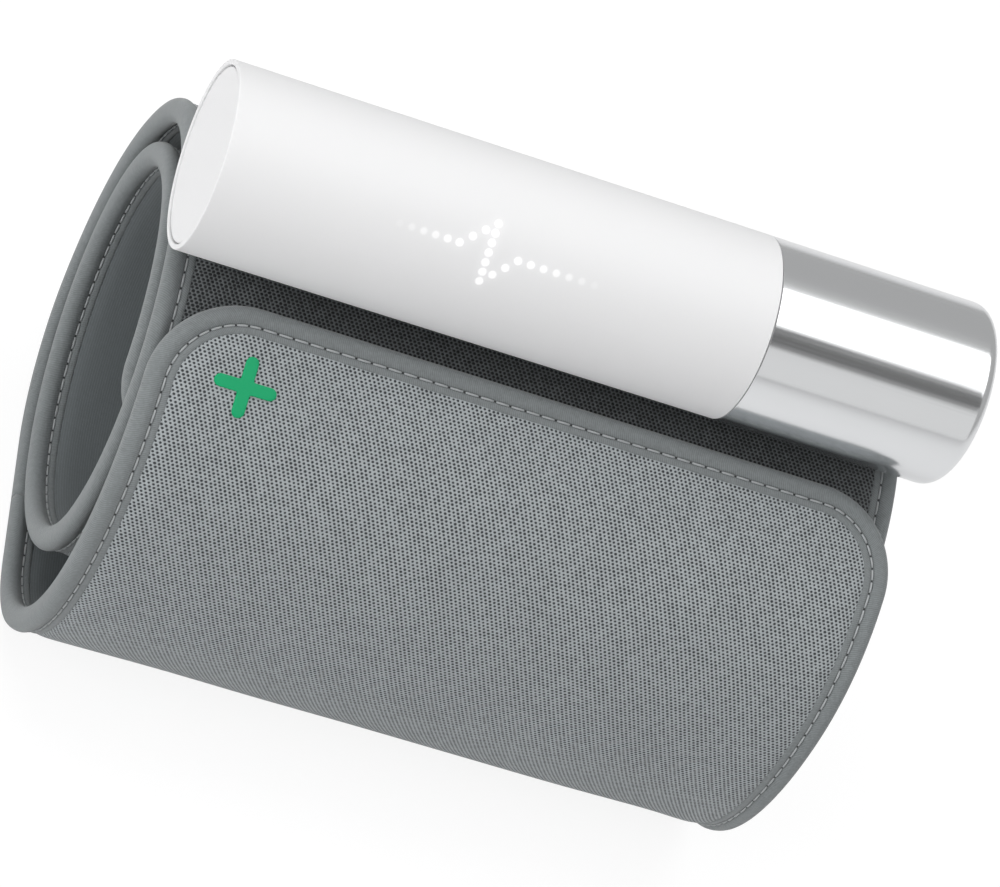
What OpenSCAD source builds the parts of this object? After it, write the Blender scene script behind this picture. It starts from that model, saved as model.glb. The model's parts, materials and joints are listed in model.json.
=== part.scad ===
// Arm-in blood pressure monitor: a tube-shaped monitor carried on a pre-curled wrap cuff.
// Units mm, +Z up. X runs along the tube, from the button end (-X) to the metal end (+X).
// The origin is the middle of the flat foot on which the cuff stands.
// The cuff is one strip. Its middle surface is a chain of straights and arcs that all turn the same way:
// free flap, floor, back, top, under the tube, inside the flap and once round again as the inner coil.

/* [Tube] */
// Overall length of the monitor tube
tube_l = 158; // [157:1:170]
// Outside diameter of the monitor tube
tube_d = 37; // [36.5:0.5:40]
// Length of the white half, from the button end to the seam
shell_l = 111; // [109:1:112]
// Wall of the white shell
shell_wall = 1.5; // [1.3:0.1:1.7]
// Wall of the metal sleeve
sleeve_wall = 1.2; // [0.9:0.1:1.3]
// Thickness of the closed end of the metal sleeve
sleeve_end = 1.6; // [1.2:0.1:2]
// Rounding of the closed end of the metal sleeve
sleeve_round = 3; // [1.5:0.25:4]
// Radial play of parts that are pushed into each other
fit = 0.05; // [0.02:0.01:0.08]

/* [Button] */
// How far the end button goes in
button_travel = 0.8; // [0.4:0.1:1]
// Radial gap round the edge of the button disc
button_gap = 0.25; // [0.15:0.05:0.4]
// How far the button face sits behind the rim
button_inset = 0.2; // [0:0.1:0.4]
// Diameter of the button stem
stem_d = 8; // [6:0.5:8.5]

/* [Dot display] */
// Diameter of one light dot
dot_d = 1.5; // [1.2:0.1:1.6]
// Pitch of the dots on the flat run before the peak
dot_pitch = 2.4; // [2.2:0.1:2.5]
// Distance from the button end to the last_n dot of that run
dot_start = 47.1; // [44:0.5:50]
// Arc from the middle of the board to the flat runs
dot_base = -0.15; // [-1:0.05:1]
// Skin left over each light well
skin = 0.7; // [0.5:0.1:0.9]

/* [Cuff strip] */
// Distance from the button end of the tube to the edge of the cuff
inset_front = 2.75; // [1:0.25:6]
// Distance from the metal end of the tube to the edge of the cuff
inset_back = 4.45; // [1:0.05:8]
// Thickness of the strip
strip_t = 4.6; // [4.4:0.1:5.2]
// Corner radius at both free edges
corner_r = 17.8; // [12:0.2:20]
// Visible width of the binding tape
tape_w = 4.8; // [4:0.1:5.5]
// Thickness of the outer mesh and of the lining
ply_t = 0.8; // [0.5:0.05:0.9]
// Gap between neighbouring plies
ply_gap = 0.1; // [0.05:0.01:0.15]
// Wall of the binding round the padding edge
tape_wall = 1; // [0.8:0.1:1.4]

/* [Coil] */
// Radius that all the arcs of the coil follow
loop_r = 40; // [39.5:0.5:46]
// Length of the flat foot
foot_l = 30; // [24:1:36]
// Length of the straight below the tube
seat_l = 10; // [10:0.5:14]
// Height of the seat between the cuff and the tube
seat_gap = 3.2; // [2.6:0.1:6]

/* [Flap] */
// Distance from the cuff edge to the hook patch inside the flap
hook_margin = 15.4; // [15:0.2:40]
// Thickness of the hook patch
hook_t = 2.6; // [1:0.1:2.8]
// Overall size of the plus sign along the tube
plus_w = 12.6; // [8:0.2:14]
// Overall size of the plus sign along the flap
plus_h = 11.8; // [8:0.2:14]
// Width of its arms
plus_arm = 2.5; // [1.5:0.1:3]
// Distance from the button end to the middle of the plus sign
plus_x = 22.3; // [18:0.1:40]

/* [Air parts] */
// Margin between the air bladder and the strip edge
bladder_margin = 13; // [12:1:30]
// Outside diameter of the air hose and of the nipple stem
hose_d = 4; // [3.2:0.1:4]
// Outside diameter of the pump motor can
motor_d = 20; // [16:0.5:21]
// Outside diameter of the exhaust valve
valve_d = 11; // [8:0.5:11]
// Stroke of the exhaust valve plunger
valve_stroke = 1; // [0.5:0.1:1]
// Radius of the pump eccentric
cam_r = 6; // [4:0.25:6.5]

/* [Power and boards] */
// Diameter of the battery cell
cell_d = 14.2; // [10:0.1:14.2]
// Distance from the end of the battery cell to the seam of the tube
cell_gap = 6.2; // [6:0.1:12]
// Thickness of the circuit boards
pcb_t = 1.2; // [0.8:0.1:1.2]

/* [Hidden] */
$fn = 96;
// Neighbouring runs of the strip: every second one is thicker by this, and the others reach into it
swell = 0.008;
reach = 0.05;

// ---- tube sizes
tube_r = tube_d / 2;
bore_r = tube_r - shell_wall;
sleeve_in = tube_r - sleeve_wall;
core_r = bore_r - fit;
core2_r = sleeve_in - fit;
ring_in = bore_r - 1.25;
ch_out = ring_in - 0.15;
ch_in = ch_out - 1.2;
deck = 1;

// ---- button end, all along X from the rim
cap_x0 = button_inset;
cap_x1 = cap_x0 + 2.2;
cap_r = tube_r - 0.65 - button_gap;
well_r = tube_r - 0.65;
guide_x0 = cap_x1 + button_travel + 0.3;
guide_x1 = 9.5;
hub_x = guide_x1 - 1.5;
stem_x = guide_x1 + 0.9;
wall_x = guide_x1 + 1.7;
switch_x = wall_x + 3.6;

// ---- rear end
end_x = tube_l - sleeve_end;
board_x = tube_l - 9.6;
pump_x = shell_l + 1;
pump_l = board_x - 4.4 - pump_x;
// lengths along the pump, as shares of its whole length
function pump_at(k) = pump_x + pump_l * k / 32;

// ---- display
board_ang = 36;
board_z = ch_in - 2;
rise_n = [2.07, -1.84];
fall_n = [0, 1.9];
back_n = [1.87, -1.96];
tail = 2.6;
peak = [dot_start + 3 * rise_n[0], dot_base + 3 * rise_n[1]];
foot_dot = [peak[0], peak[1] + 6 * fall_n[1]];
dots = concat(
    [for (i = [0:5]) [dot_start - (5 - i) * dot_pitch, dot_base]],
    [for (i = [1:3]) [dot_start + i * rise_n[0], dot_base + i * rise_n[1]]],
    [for (i = [1:6]) [peak[0] - 0.3 * sin(i * 30), peak[1] + i * fall_n[1]]],
    [for (i = [1:3]) [foot_dot[0] + i * back_n[0], foot_dot[1] + i * back_n[1]]],
    [for (i = [1:6]) [foot_dot[0] + 3 * back_n[0] + i * tail, dot_base]]);
function dot_y(d) = -tube_r * sin(d[1] / tube_r * 180 / PI);

// ---- places along the tube
screw_x = [18, shell_l - 43, shell_l - 13, tube_l - 20];
nipple_x = 45;
valve_x = [20, 36];
man_x = [40, 52];
cell_x0 = 55.6;
cell_x1 = shell_l - cell_gap;
cell_l = cell_x1 - cell_x0;
cell_z = -(ch_in - cell_d / 2 - 0.2);
hose_y = 10.2;
hose_z = -4.5;
valve_z = -(ch_in - valve_d / 2 - 0.05);

// ---- strip, measured outward from its middle surface
cuff_w = tube_l - inset_front - inset_back;
cuff_shift = (inset_front - inset_back) / 2;
half_t = strip_t / 2;
seat_h = tube_r + seat_gap + half_t;
ply_in = half_t - ply_t;
pad_t = ply_in - ply_gap;
slot_t = ply_in;
ply_inset = tape_w + ply_gap;
pad_inset = tape_wall + ply_gap;
bl_top = -0.35;
bl_low = -pad_t + 0.05;
stiff_top = pad_t - 0.1;
plate_low = pad_t - 1;
plate_hw = cuff_w / 2 - 8;
hook_w = cuff_w - 2 * hook_margin;
bl_hw = cuff_w / 2 - bladder_margin;

// ---- coil: radius, turn and length of each run of the strip, in order of travel
seg_r = [0, loop_r + 14, loop_r + 10, loop_r - 14, 0, loop_r - 6, loop_r + 19.5, loop_r - 7, 0,
    loop_r + 2, loop_r + 1, loop_r - 0.5, loop_r - 0.5, loop_r - 7, loop_r - 3.5, 0];
seg_a = [0, 46, 50, 45, 0, 60, 60, 70, 0, 70, 70, 70, 70, 60, 58, 0];
seg_l = [corner_r, 0, 0, 0, foot_l, 0, 0, 0, seat_l, 0, 0, 0, 0, 0, 0, corner_r];
last_n = 15;
foot_n = 4;
seat_n = 8;
function head(i) = i == 0 ? -141 : head(i - 1) + seg_a[i - 1];
function turn(h, a, r) = r * [sin(h + a) - sin(h), cos(h) - cos(h + a)];
function go(i) = seg_a[i] == 0
    ? seg_l[i] * [cos(head(i)), sin(head(i))]
    : turn(head(i), seg_a[i], seg_r[i]);
function raw(i) = i == 0 ? [0, 0] : raw(i - 1) + go(i - 1);
base = raw(foot_n) + [foot_l / 2, 0];
function at(i) = raw(i) - base + [0, half_t];
seat_mid = at(seat_n) + seat_l / 2 * [cos(head(seat_n)), sin(head(seat_n))];
seat_dir = [sin(head(seat_n)), -cos(head(seat_n))];
tube_c = seat_mid + seat_h * seat_dir;
seat_lean = head(seat_n) - 180;
cut = 0.15;

// ================================================================ helpers
// A round bar along X
module rod(r, x0, x1, y = 0, z = 0) {
    translate([x0, y, z])
        rotate([0, 90, 0])
            cylinder(r = r, h = x1 - x0);
}

// A block between two corners
module slab(x0, x1, y0, y1, z0, z1) {
    translate([x0, y0, z0])
        cube([x1 - x0, y1 - y0, z1 - z0]);
}

// An upright round bar
module post(r, x, y, z0, z1) {
    translate([x, y, z0])
        cylinder(r = r, h = z1 - z0, $fn = 48);
}

// A flat-head screw standing at a place, head down
module screw(x, y, z0, z1, rh, th, rs) {
    translate([x, y, z0])
        rotate_extrude($fn = 48)
            polygon([[0, 0], [rh, 0], [rh, th], [rs, th], [rs, z1 - z0], [0, z1 - z0]]);
}

// Tube frame: X from the rim, Z away from the cuff seat
module in_tube() {
    translate([-tube_l / 2, tube_c[0], tube_c[1]])
        rotate([seat_lean, 0, 0])
            children();
}

// Display frame inside the tube: Z points out through the middle of the dots
module in_display() {
    rotate([board_ang, 0, 0])
        children();
}

// Strip frame of run i: x outward from the middle surface, y along the travel, z along the tube
module on_run(i, along = 0) {
    translate([cuff_shift, 0, 0])
        rotate([90, 0, 90])
            translate([at(i)[0], at(i)[1], 0])
                rotate(head(i) - 90)
                    translate([0, along, 0])
                        children();
}

function arc_l(i) = seg_r[i] * seg_a[i] * PI / 180;
function run_l(i) = seg_a[i] == 0 ? seg_l[i] : arc_l(i);

// One run of the strip from part f0 to part f1 of its length; the child is its section (offset, X).
// $g is the swell of this run, and a run without swell reaches a little into its neighbours.
module run(i, f0 = 0, f1 = 1) {
    $g = swell * (i % 2);
    h0 = i % 2 == 0 ? f0 - reach / run_l(i) : f0;
    h1 = i % 2 == 0 ? f1 + reach / run_l(i) : f1;
    on_run(i)
        if (seg_a[i] == 0)
            translate([0, seg_l[i] * h1, 0])
                rotate([90, 0, 0])
                    linear_extrude(height = seg_l[i] * (h1 - h0))
                        children();
        else
            translate([-seg_r[i], 0, 0])
                rotate(seg_a[i] * h0)
                    rotate_extrude(angle = seg_a[i] * (h1 - h0))
                        translate([seg_r[i], 0])
                            children();
}

// Section of a flat ply of half width w
module band(o0, o1, w) {
    translate([o0 - $g, -w - $g])
        square([o1 - o0 + 2 * $g, 2 * w + 2 * $g]);
}

module ply_section(o0, o1, inset) {
    band(o0, o1, cuff_w / 2 - inset);
}

// Rounded end of a flat ply, in the strip frame at the start of an end run
module ply_end(o0, o1, inset, g) {
    r = corner_r - inset + g;
    c = cuff_w / 2 - corner_r;
    t = o1 - o0 + 2 * g;
    translate([o0 - g, 0, -c])
        cube([t, r, 2 * c]);
    if (g == 0)
        translate([o0, -reach, -c - r])
            cube([t, reach, 2 * (c + r)]);
    for (s = [0, 1])
        mirror([0, 0, s])
            translate([0, 0, -c])
                rotate([0, 90, 0])
                    rotate_extrude(angle = 90)
                        translate([0, o0 - g])
                            square([r, t]);
}

// Binding section: first the distance outward from the strip edge, then the offset from the middle
function bead(g) = [for (k = [0:6]) [-half_t + (half_t + g) * sin(k * 30), (half_t + g) * cos(k * 30)]];
function tape_points(g) = concat([[-tape_w - g, half_t + g]], bead(g),
    [[-tape_w - g, -half_t - g], [-tape_w - g, -slot_t + g], [-tape_wall - g, -slot_t + g],
    [-tape_wall - g, slot_t - g], [-tape_w - g, slot_t - g]]);

// The same section at both edges of the strip, as (offset, X)
module tape_section(s, g) {
    polygon([for (p = tape_points(g)) [p[1], s * (cuff_w / 2 + p[0])]]);
}

// Binding round the rounded end of the strip
module tape_end(g) {
    c = cuff_w / 2 - corner_r;
    translate([0, corner_r, -c])
        linear_extrude(height = 2 * c)
            polygon([for (p = tape_points(g)) [p[1], p[0]]]);
    if (g == 0)
        for (s = [-1, 1])
            rotate([90, 0, 0])
                linear_extrude(height = reach)
                    tape_section(s, 0);
    for (s = [0, 1])
        mirror([0, 0, s])
            translate([0, 0, -c])
                rotate([0, 90, 0])
                    rotate_extrude(angle = 90)
                        polygon([for (p = tape_points(g)) [corner_r + p[0], p[1]]]);
}

// The flap: free end run and the arc down to the fold
module flap_ply(o0, o1, inset) {
    on_run(1)
        mirror([0, 1, 0])
            ply_end(o0, o1, inset, 0);
    run(1, 0, 1 - cut / arc_l(1))
        ply_section(o0, o1, inset);
}

// The rest of the strip, from the fold to the inner end
module wrap_ply(o0, o1, inset) {
    run(2, cut / arc_l(2), 1)
        ply_section(o0, o1, inset);
    for (i = [3:14])
        run(i)
            ply_section(o0, o1, inset);
    on_run(last_n)
        ply_end(o0, o1, inset, swell);
}

// Bores through the strip on the seat line, given as positions along the tube
module seat_bores(xs, r, o0, o1) {
    for (x = xs)
        on_run(seat_n, seat_l / 2)
            translate([o0, 0, x - tube_l / 2 - cuff_shift])
                rotate([0, 90, 0])
                    cylinder(r = r, h = o1 - o0, $fn = 48);
}

// ================================================================ cuff, flap
module flap_mesh() {
    color([0.66, 0.67, 0.69])
        flap_ply(ply_in, half_t, ply_inset);
}

module flap_padding() {
    color([0.9, 0.9, 0.88])
        flap_ply(-pad_t, pad_t, pad_inset);
}

module flap_lining() {
    color([0.3, 0.31, 0.33])
        flap_ply(-half_t, -ply_in, ply_inset);
}

module flap_binding() {
    color([0.47, 0.48, 0.5]) {
        on_run(1)
            mirror([0, 1, 0])
                tape_end(0);
        for (s = [-1, 1])
            run(1, 0, 1 - cut / arc_l(1))
                tape_section(s, $g);
    }
}

// Hook patch on the inner face of the flap
module hook_patch() {
    o = -half_t - 0.05;
    color([0.25, 0.26, 0.28]) {
        on_run(1)
            mirror([0, 1, 0])
                translate([o - hook_t, -reach, -hook_w / 2])
                    cube([hook_t, corner_r - tape_w - 2 + reach, hook_w]);
        run(1, 0, 0.4)
            band(o - hook_t, o, hook_w / 2);
    }
}

// Plus sign with round arm ends on the outer face of the flap
function cap_arc(cx, cy, a0) = [for (k = [0:6])
    [cx + plus_arm / 2 * cos(a0 + k * 30), cy + plus_arm / 2 * sin(a0 + k * 30)]];
module plus_mark() {
    a = plus_arm / 2;
    color([0.18, 0.67, 0.43])
        on_run(1, 15.1 - corner_r)
            translate([half_t + 0.02, 0, plus_x - tube_l / 2 - cuff_shift])
                rotate([0, 90, 0])
                    linear_extrude(height = 0.35)
                        polygon(concat(
                            cap_arc(plus_w / 2 - a, 0, -90), [[a, a]],
                            cap_arc(0, plus_h / 2 - a, 0), [[-a, a]],
                            cap_arc(-plus_w / 2 + a, 0, 90), [[-a, -a]],
                            cap_arc(0, -plus_h / 2 + a, 180), [[a, -a]]));
}

// ================================================================ cuff, wrap
module wrap_mesh() {
    color([0.66, 0.67, 0.69])
        difference() {
            wrap_ply(ply_in, half_t, ply_inset);
            seat_bores(screw_x, 1.1, ply_in - 1, half_t + 1);
            seat_bores([nipple_x], hose_d / 2 + 0.1, ply_in - 1, half_t + 1);
        }
}

// Pocket runs of the padding
module pocket_runs(i0, i1, o0, o1, w) {
    for (i = [i0:i1])
        run(i)
            band(o0, o1, w);
}

module wrap_padding() {
    color([0.9, 0.9, 0.88])
        difference() {
            wrap_ply(-pad_t, pad_t, pad_inset);
            pocket_runs(9, 13, -pad_t - 1, bl_top + 0.05, bl_hw + 0.2);
            run(seat_n, -0.02, 1)
                band(-pad_t - 1, bl_top + 0.05, bl_hw + 0.2);
            pocket_runs(10, 13, stiff_top - 0.65, pad_t + 1, bl_hw + 1.2);
            run(seat_n, 0.01, 0.99)
                band(plate_low - 0.05, pad_t + 1, plate_hw + 0.1);
            seat_bores([nipple_x], 4.6, bl_top - 0.5, plate_low + 0.5);
        }
}

module wrap_lining() {
    color([0.3, 0.31, 0.33])
        wrap_ply(-half_t, -ply_in, ply_inset);
}

module wrap_binding() {
    color([0.47, 0.48, 0.5]) {
        for (s = [-1, 1]) {
            run(2, cut / arc_l(2), 1)
                tape_section(s, $g);
            for (i = [3:14])
                run(i)
                    tape_section(s, $g);
        }
        on_run(last_n)
            tape_end(swell);
    }
}

// Flat air chamber round the inner coil
module air_bladder() {
    color([0.86, 0.84, 0.8])
        difference() {
            for (i = [seat_n:13])
                run(i)
                    band(bl_low, bl_top, bl_hw);
            run(seat_n, 0.2, 1)
                band(bl_low + 0.25, bl_top - 0.25, bl_hw - 4);
            for (i = [9:12])
                run(i)
                    band(bl_low + 0.25, bl_top - 0.25, bl_hw - 4);
            run(13, 0, 0.9)
                band(bl_low + 0.25, bl_top - 0.25, bl_hw - 4);
            seat_bores([nipple_x], hose_d / 2 - 0.9, bl_top - 0.4, bl_top + 0.5);
        }
}

// Curled plastic sheet that keeps the coil in shape
module stiffener() {
    color([0.8, 0.82, 0.85])
        for (i = [10:13])
            run(i)
                band(stiff_top - 0.6, stiff_top, bl_hw + 1);
}

// Metal strip inside the cuff that the mount screws pull against
module clamp_plate() {
    color([0.7, 0.71, 0.73])
        difference() {
            run(seat_n, 0.02, 0.98)
                band(plate_low, plate_low + 1, plate_hw);
            seat_bores(screw_x, 1.1, plate_low - 1, half_t);
            seat_bores(screw_x, 2.1, plate_low - 1, plate_low + 0.65);
            seat_bores([nipple_x], hose_d / 2 + 0.1, plate_low - 1, half_t);
        }
}

// ================================================================ seat
seat_z = -(seat_h - half_t);
head_z = -(seat_h - plate_low);
saddle_hw = seat_l / 2;
module saddle() {
    color([0.78, 0.78, 0.77])
        in_tube()
            difference() {
                slab(8, tube_l - 8, -saddle_hw, saddle_hw, seat_z, -tube_r + 4);
                rod(tube_r + fit, 7, tube_l - 7);
                for (x = screw_x)
                    post(1.1, x, 0, seat_z - 1, 0);
                post(hose_d / 2 + 0.1, nipple_x, 0, seat_z - 1, 0);
                post(3.4, nipple_x, 0, -tube_r - 1.2, 0);
            }
}

// Flat-head screws from inside the cuff, through the saddle, into the tube
module mount_screws() {
    color([0.62, 0.62, 0.63])
        in_tube()
            for (x = screw_x)
                screw(x, 0, head_z, -ch_in - 0.15, 2, 0.6, 1);
}

// Air stem from the bladder into the tube
module air_nipple() {
    color([0.83, 0.82, 0.78])
        in_tube()
            difference() {
                union() {
                    post(4.4, nipple_x, 0, -(seat_h - bl_top) + 0.02, -(seat_h - plate_low) - 0.02);
                    post(hose_d / 2, nipple_x, 0, -(seat_h - plate_low) - 0.05, -ch_in + 1.8);
                }
                post(hose_d / 2 - 0.9, nipple_x, 0, -seat_h - 2, 0);
            }
}

module nipple_seal() {
    color([0.15, 0.15, 0.16])
        in_tube()
            difference() {
                post(3.3, nipple_x, 0, -tube_r - 1.15, -tube_r - 0.1);
                post(hose_d / 2 + 0.05, nipple_x, 0, -tube_r - 2, 0);
            }
}

// ================================================================ tube shells
module white_shell() {
    color([0.93, 0.93, 0.92])
        in_tube()
            difference() {
                rod(tube_r, 0, shell_l);
                rod(bore_r, -1, shell_l + 1);
                rod(well_r, -1, guide_x0);
                for (x = screw_x)
                    if (x < shell_l)
                        post(1.1, x, 0, -tube_r - 1, -bore_r + 1);
                post(hose_d / 2 + 0.1, nipple_x, 0, -tube_r - 1, -bore_r + 1);
                in_display()
                    for (d = dots)
                        post(dot_d / 2, d[0], dot_y(d), bore_r - 3,
                            sqrt(pow(tube_r - skin, 2) - pow(abs(dot_y(d)) + dot_d / 2, 2)));
            }
}

// Outline of the metal sleeve wall with its rounded closed end, as (radius, length)
function corner(r, x, k) = [for (i = [0:k]) [r[0] + r[1] * cos(i * 90 / k), x + r[1] * sin(i * 90 / k)]];
module metal_sleeve() {
    ri = max(sleeve_round - sleeve_wall, 0.4);
    color([0.72, 0.73, 0.75])
        in_tube()
            difference() {
                rotate([0, 90, 0])
                    rotate_extrude()
                        polygon(concat([[sleeve_in, shell_l], [tube_r, shell_l]],
                            corner([tube_r - sleeve_round, sleeve_round], tube_l - sleeve_round, 8),
                            [[0, tube_l], [0, end_x]],
                            [for (i = [6:-1:0]) [sleeve_in - ri + ri * cos(i * 15),
                                end_x - ri + ri * sin(i * 15)]]));
                post(1.1, screw_x[3], 0, -tube_r - 1, -sleeve_in + 1);
                slab(end_x - 1, tube_l + 1, -4.65, 4.65, -1.75, 1.75);
            }
}

module coupling_ring() {
    color([0.85, 0.85, 0.84])
        in_tube()
            difference() {
                union() {
                    rod(core_r, shell_l - 6, shell_l);
                    rod(core2_r, shell_l, shell_l + 6);
                }
                rod(ring_in, shell_l - 7, shell_l + 7);
            }
}

// ================================================================ button
module button_cap() {
    color([0.9, 0.9, 0.9])
        in_tube()
            rotate([0, 90, 0])
                rotate_extrude()
                    polygon([[0, cap_x0], [cap_r - 0.35, cap_x0], [cap_r - 0.1, cap_x0 + 0.1],
                        [cap_r, cap_x0 + 0.35], [cap_r, cap_x1], [stem_d / 2, cap_x1],
                        [stem_d / 2, guide_x1 + 0.1], [stem_d / 2 - 0.7, guide_x1 + 0.1],
                        [stem_d / 2 - 0.7, guide_x1 + 0.7], [stem_d / 2, guide_x1 + 0.7],
                        [stem_d / 2, stem_x], [0, stem_x]]);
}

module button_clip() {
    color([0.55, 0.55, 0.57])
        in_tube()
            difference() {
                rod(stem_d / 2 + 0.6, guide_x1 + 0.12, guide_x1 + 0.62);
                rod(stem_d / 2 - 0.68, guide_x1, guide_x1 + 1);
                slab(guide_x1, guide_x1 + 1, -1.5, 1.5, 0, 9);
            }
}

// Stack of four dished washers, one closed zigzag, seated in the pocket of the guide
module button_spring() {
    n = 4;
    w = 0.9;
    l = hub_x - cap_x1 - button_travel - 0.05;
    ra = stem_d / 2 + 0.35 + w;
    rb = 6.9;
    color([0.6, 0.6, 0.62])
        in_tube()
            rotate([0, 90, 0])
                rotate_extrude()
                    polygon(concat(
                        [for (k = [0:n]) [k % 2 == 0 ? rb : ra, hub_x - l * k / n]],
                        [for (k = [n:-1:0]) [(k % 2 == 0 ? rb : ra) - w, hub_x - l * k / n]]));
}

module button_guide() {
    color([0.82, 0.82, 0.82])
        in_tube()
            difference() {
                rod(core_r, guide_x0, guide_x1);
                rod(7, guide_x0 - 1, hub_x);
                rod(stem_d / 2 + 0.1, guide_x0 - 1, guide_x1 + 1);
                difference() {
                    rod(core_r - 1.2, guide_x0 + 1.5, guide_x1 + 1);
                    rod(8.4, guide_x0 + 1, guide_x1 + 2);
                }
            }
}

module switch_body() {
    color([0.2, 0.2, 0.21])
        in_tube()
            difference() {
                slab(wall_x, switch_x, -6.5, 6.5, -3, 3);
                rod(1.6, wall_x - 1, switch_x - 0.5);
            }
}

module switch_actuator() {
    color([0.85, 0.8, 0.7])
        in_tube()
            rod(1.5, stem_x, stem_x + 2.1);
}

// ================================================================ chassis
boss = [[22, 12], [22, -12], [shell_l - 11, -12]];
module half_pipe(r0, r1, x0, x1) {
    difference() {
        rod(r1, x0, x1);
        rod(r0, x0 - 1, x1 + 1);
        slab(x0 - 2, x1 + 2, -30, 30, deck, 30);
    }
}

module chassis() {
    color([0.87, 0.87, 0.86])
        in_tube()
            difference() {
                union() {
                    half_pipe(ch_in, ch_out, guide_x1, board_x);
                    rod(ch_out, guide_x1, wall_x);
                    half_pipe(ch_out - 0.5, core_r, 28, 31);
                    half_pipe(ch_out - 0.5, core_r, 84, 87);
                    half_pipe(ch_out - 0.5, core2_r, pump_at(11), pump_at(14));
                    half_pipe(ch_out - 0.5, core2_r, board_x - 5, board_x - 2);
                    // walls at both ends of the battery and behind the pump, cradles of valve and motor
                    intersection() {
                        union() {
                            slab(valve_x[0] + 2, valve_x[0] + 4, -7, 7, -ch_out + 0.2, valve_z);
                            slab(valve_x[1] - 4, valve_x[1] - 2, -7, 7, -ch_out + 0.2, valve_z);
                            for (k = [16, 28])
                                slab(pump_at(k), pump_at(k + 2), -motor_d / 2 - 1, motor_d / 2 + 1,
                                    -ch_out + 0.2, -3);
                            slab(cell_x0 - 2.2, cell_x0 - 1, -9, 7.5, -ch_out + 0.2, -1);
                            slab(cell_x1 + 1, cell_x1 + 2.2, -9, 7.5, -ch_out + 0.2, -1);
                            slab(board_x - 1.2, board_x, -ch_in - 0.5, ch_in + 0.5, -ch_out + 0.2, 6);
                        }
                        rod(ch_out - 0.1, 20, tube_l);
                    }
                    // posts under the main board and pads for the mount screws
                    for (b = boss)
                        intersection() {
                            post(2.3, b[0], b[1], -12, deck);
                            rod(ch_out - 0.1, 12, shell_l + 2);
                        }
                    for (x = screw_x)
                        intersection() {
                            post(3, x, 0, -20, -ch_in - 0.1);
                            rod(core_r - 0.3, x - 4, x + 4);
                        }
                }
                rod(stem_d / 2 + 0.8, guide_x1 - 1, wall_x + 1);
                rod(valve_d / 2 + fit, valve_x[0], valve_x[1], 0, valve_z);
                rod(motor_d / 2 + fit, pump_at(12), board_x - 1.2, 0, 0);
                for (b = boss)
                    post(0.85, b[0], b[1], deck - 5, deck + 1);
                for (x = screw_x)
                    post(1.02, x, 0, -20, -ch_in + 0.5);
                post(hose_d / 2 + 0.1, nipple_x, 0, -20, -ch_in + 1);
            }
}

// ================================================================ boards
board_hw = sqrt(ch_out * ch_out - deck * deck) - 0.6;
board_end = shell_l - 3;
module main_board() {
    color([0.1, 0.38, 0.22])
        in_tube()
            difference() {
                slab(switch_x, board_end, -board_hw, board_hw, deck, deck + pcb_t);
                for (b = boss)
                    post(1.1, b[0], b[1], deck - 1, deck + pcb_t + 1);
            }
}

module board_screws() {
    color([0.62, 0.62, 0.63])
        in_tube()
            for (b = boss)
                translate([0, 0, deck + pcb_t])
                    mirror([0, 0, 1])
                        screw(b[0], b[1], -1, 5.2, 1.9, 1, 0.8);
}

module board_chips() {
    z = deck + pcb_t;
    color([0.12, 0.12, 0.13])
        in_tube() {
            slab(34, 42, -4, 4, z, z + 1.1);
            slab(60, 72, -2, 8, z, z + 1.8);
            slab(shell_l - 27, shell_l - 22, -9, -4, z, z + 0.9);
            slab(shell_l - 19, shell_l - 15, 2, 8, z, z + 2.4);
        }
}

led_z = board_z;
module led_board() {
    color([0.1, 0.38, 0.22])
        in_tube()
            in_display()
                slab(31, 79, -8, 8, led_z, led_z + 1);
}

module led_chips() {
    color([0.95, 0.93, 0.8])
        in_tube()
            in_display()
                for (d = dots)
                    slab(d[0] - 0.5, d[0] + 0.5, dot_y(d) - 0.5, dot_y(d) + 0.5, led_z + 1, led_z + 1.6);
}

// Black block with one light channel per dot
module light_mask() {
    color([0.08, 0.08, 0.09])
        in_tube()
            in_display()
                difference() {
                    intersection() {
                        slab(31, 79, -8, 8, led_z + 1, tube_r);
                        rod(bore_r - 0.1, 30, 80);
                    }
                    slab(32, 78, -7.2, 7.2, led_z, led_z + 1.75);
                    for (d = dots)
                        post(dot_d / 2, d[0], dot_y(d), led_z, tube_r + 1);
                }
}

module flex_strip() {
    y = -7.6 * cos(board_ang) - led_z * sin(board_ang);
    z = -7.6 * sin(board_ang) + led_z * cos(board_ang);
    color([0.75, 0.5, 0.2])
        in_tube()
            slab(52, 60, y, y + 0.3, deck + pcb_t, z - 0.05);
}

// ================================================================ power
module battery_cell() {
    color([0.2, 0.35, 0.6])
        in_tube()
            translate([cell_x0, 0, cell_z])
                rotate([0, 90, 0])
                    rotate_extrude()
                        polygon([[0, 0], [cell_d / 2, 0], [cell_d / 2, cell_l - 1], [2.75, cell_l - 1],
                            [2.75, cell_l], [0, cell_l]]);
}

module battery_contacts() {
    color([0.8, 0.76, 0.6])
        in_tube() {
            slab(cell_x0 - 0.95, cell_x0 - 0.05, -4, 4, cell_z - 4, cell_z + 4);
            slab(cell_x1 + 0.05, cell_x1 + 0.95, -4, 4, cell_z - 4, cell_z + 4);
        }
}

module charging_port() {
    color([0.7, 0.7, 0.72])
        in_tube() {
            difference() {
                slab(board_x + 1.2, tube_l - 0.9, -4.5, 4.5, -1.6, 1.6);
                slab(board_x + 2.4, tube_l, -4.15, 4.15, -1.25, 1.25);
            }
            slab(board_x + 2, tube_l - 1.8, -3.3, 3.3, -0.35, 0.35);
        }
}

module port_board() {
    color([0.1, 0.38, 0.22])
        in_tube()
            slab(board_x, board_x + 1.2, -9, 9, -5, 5);
}

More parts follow.
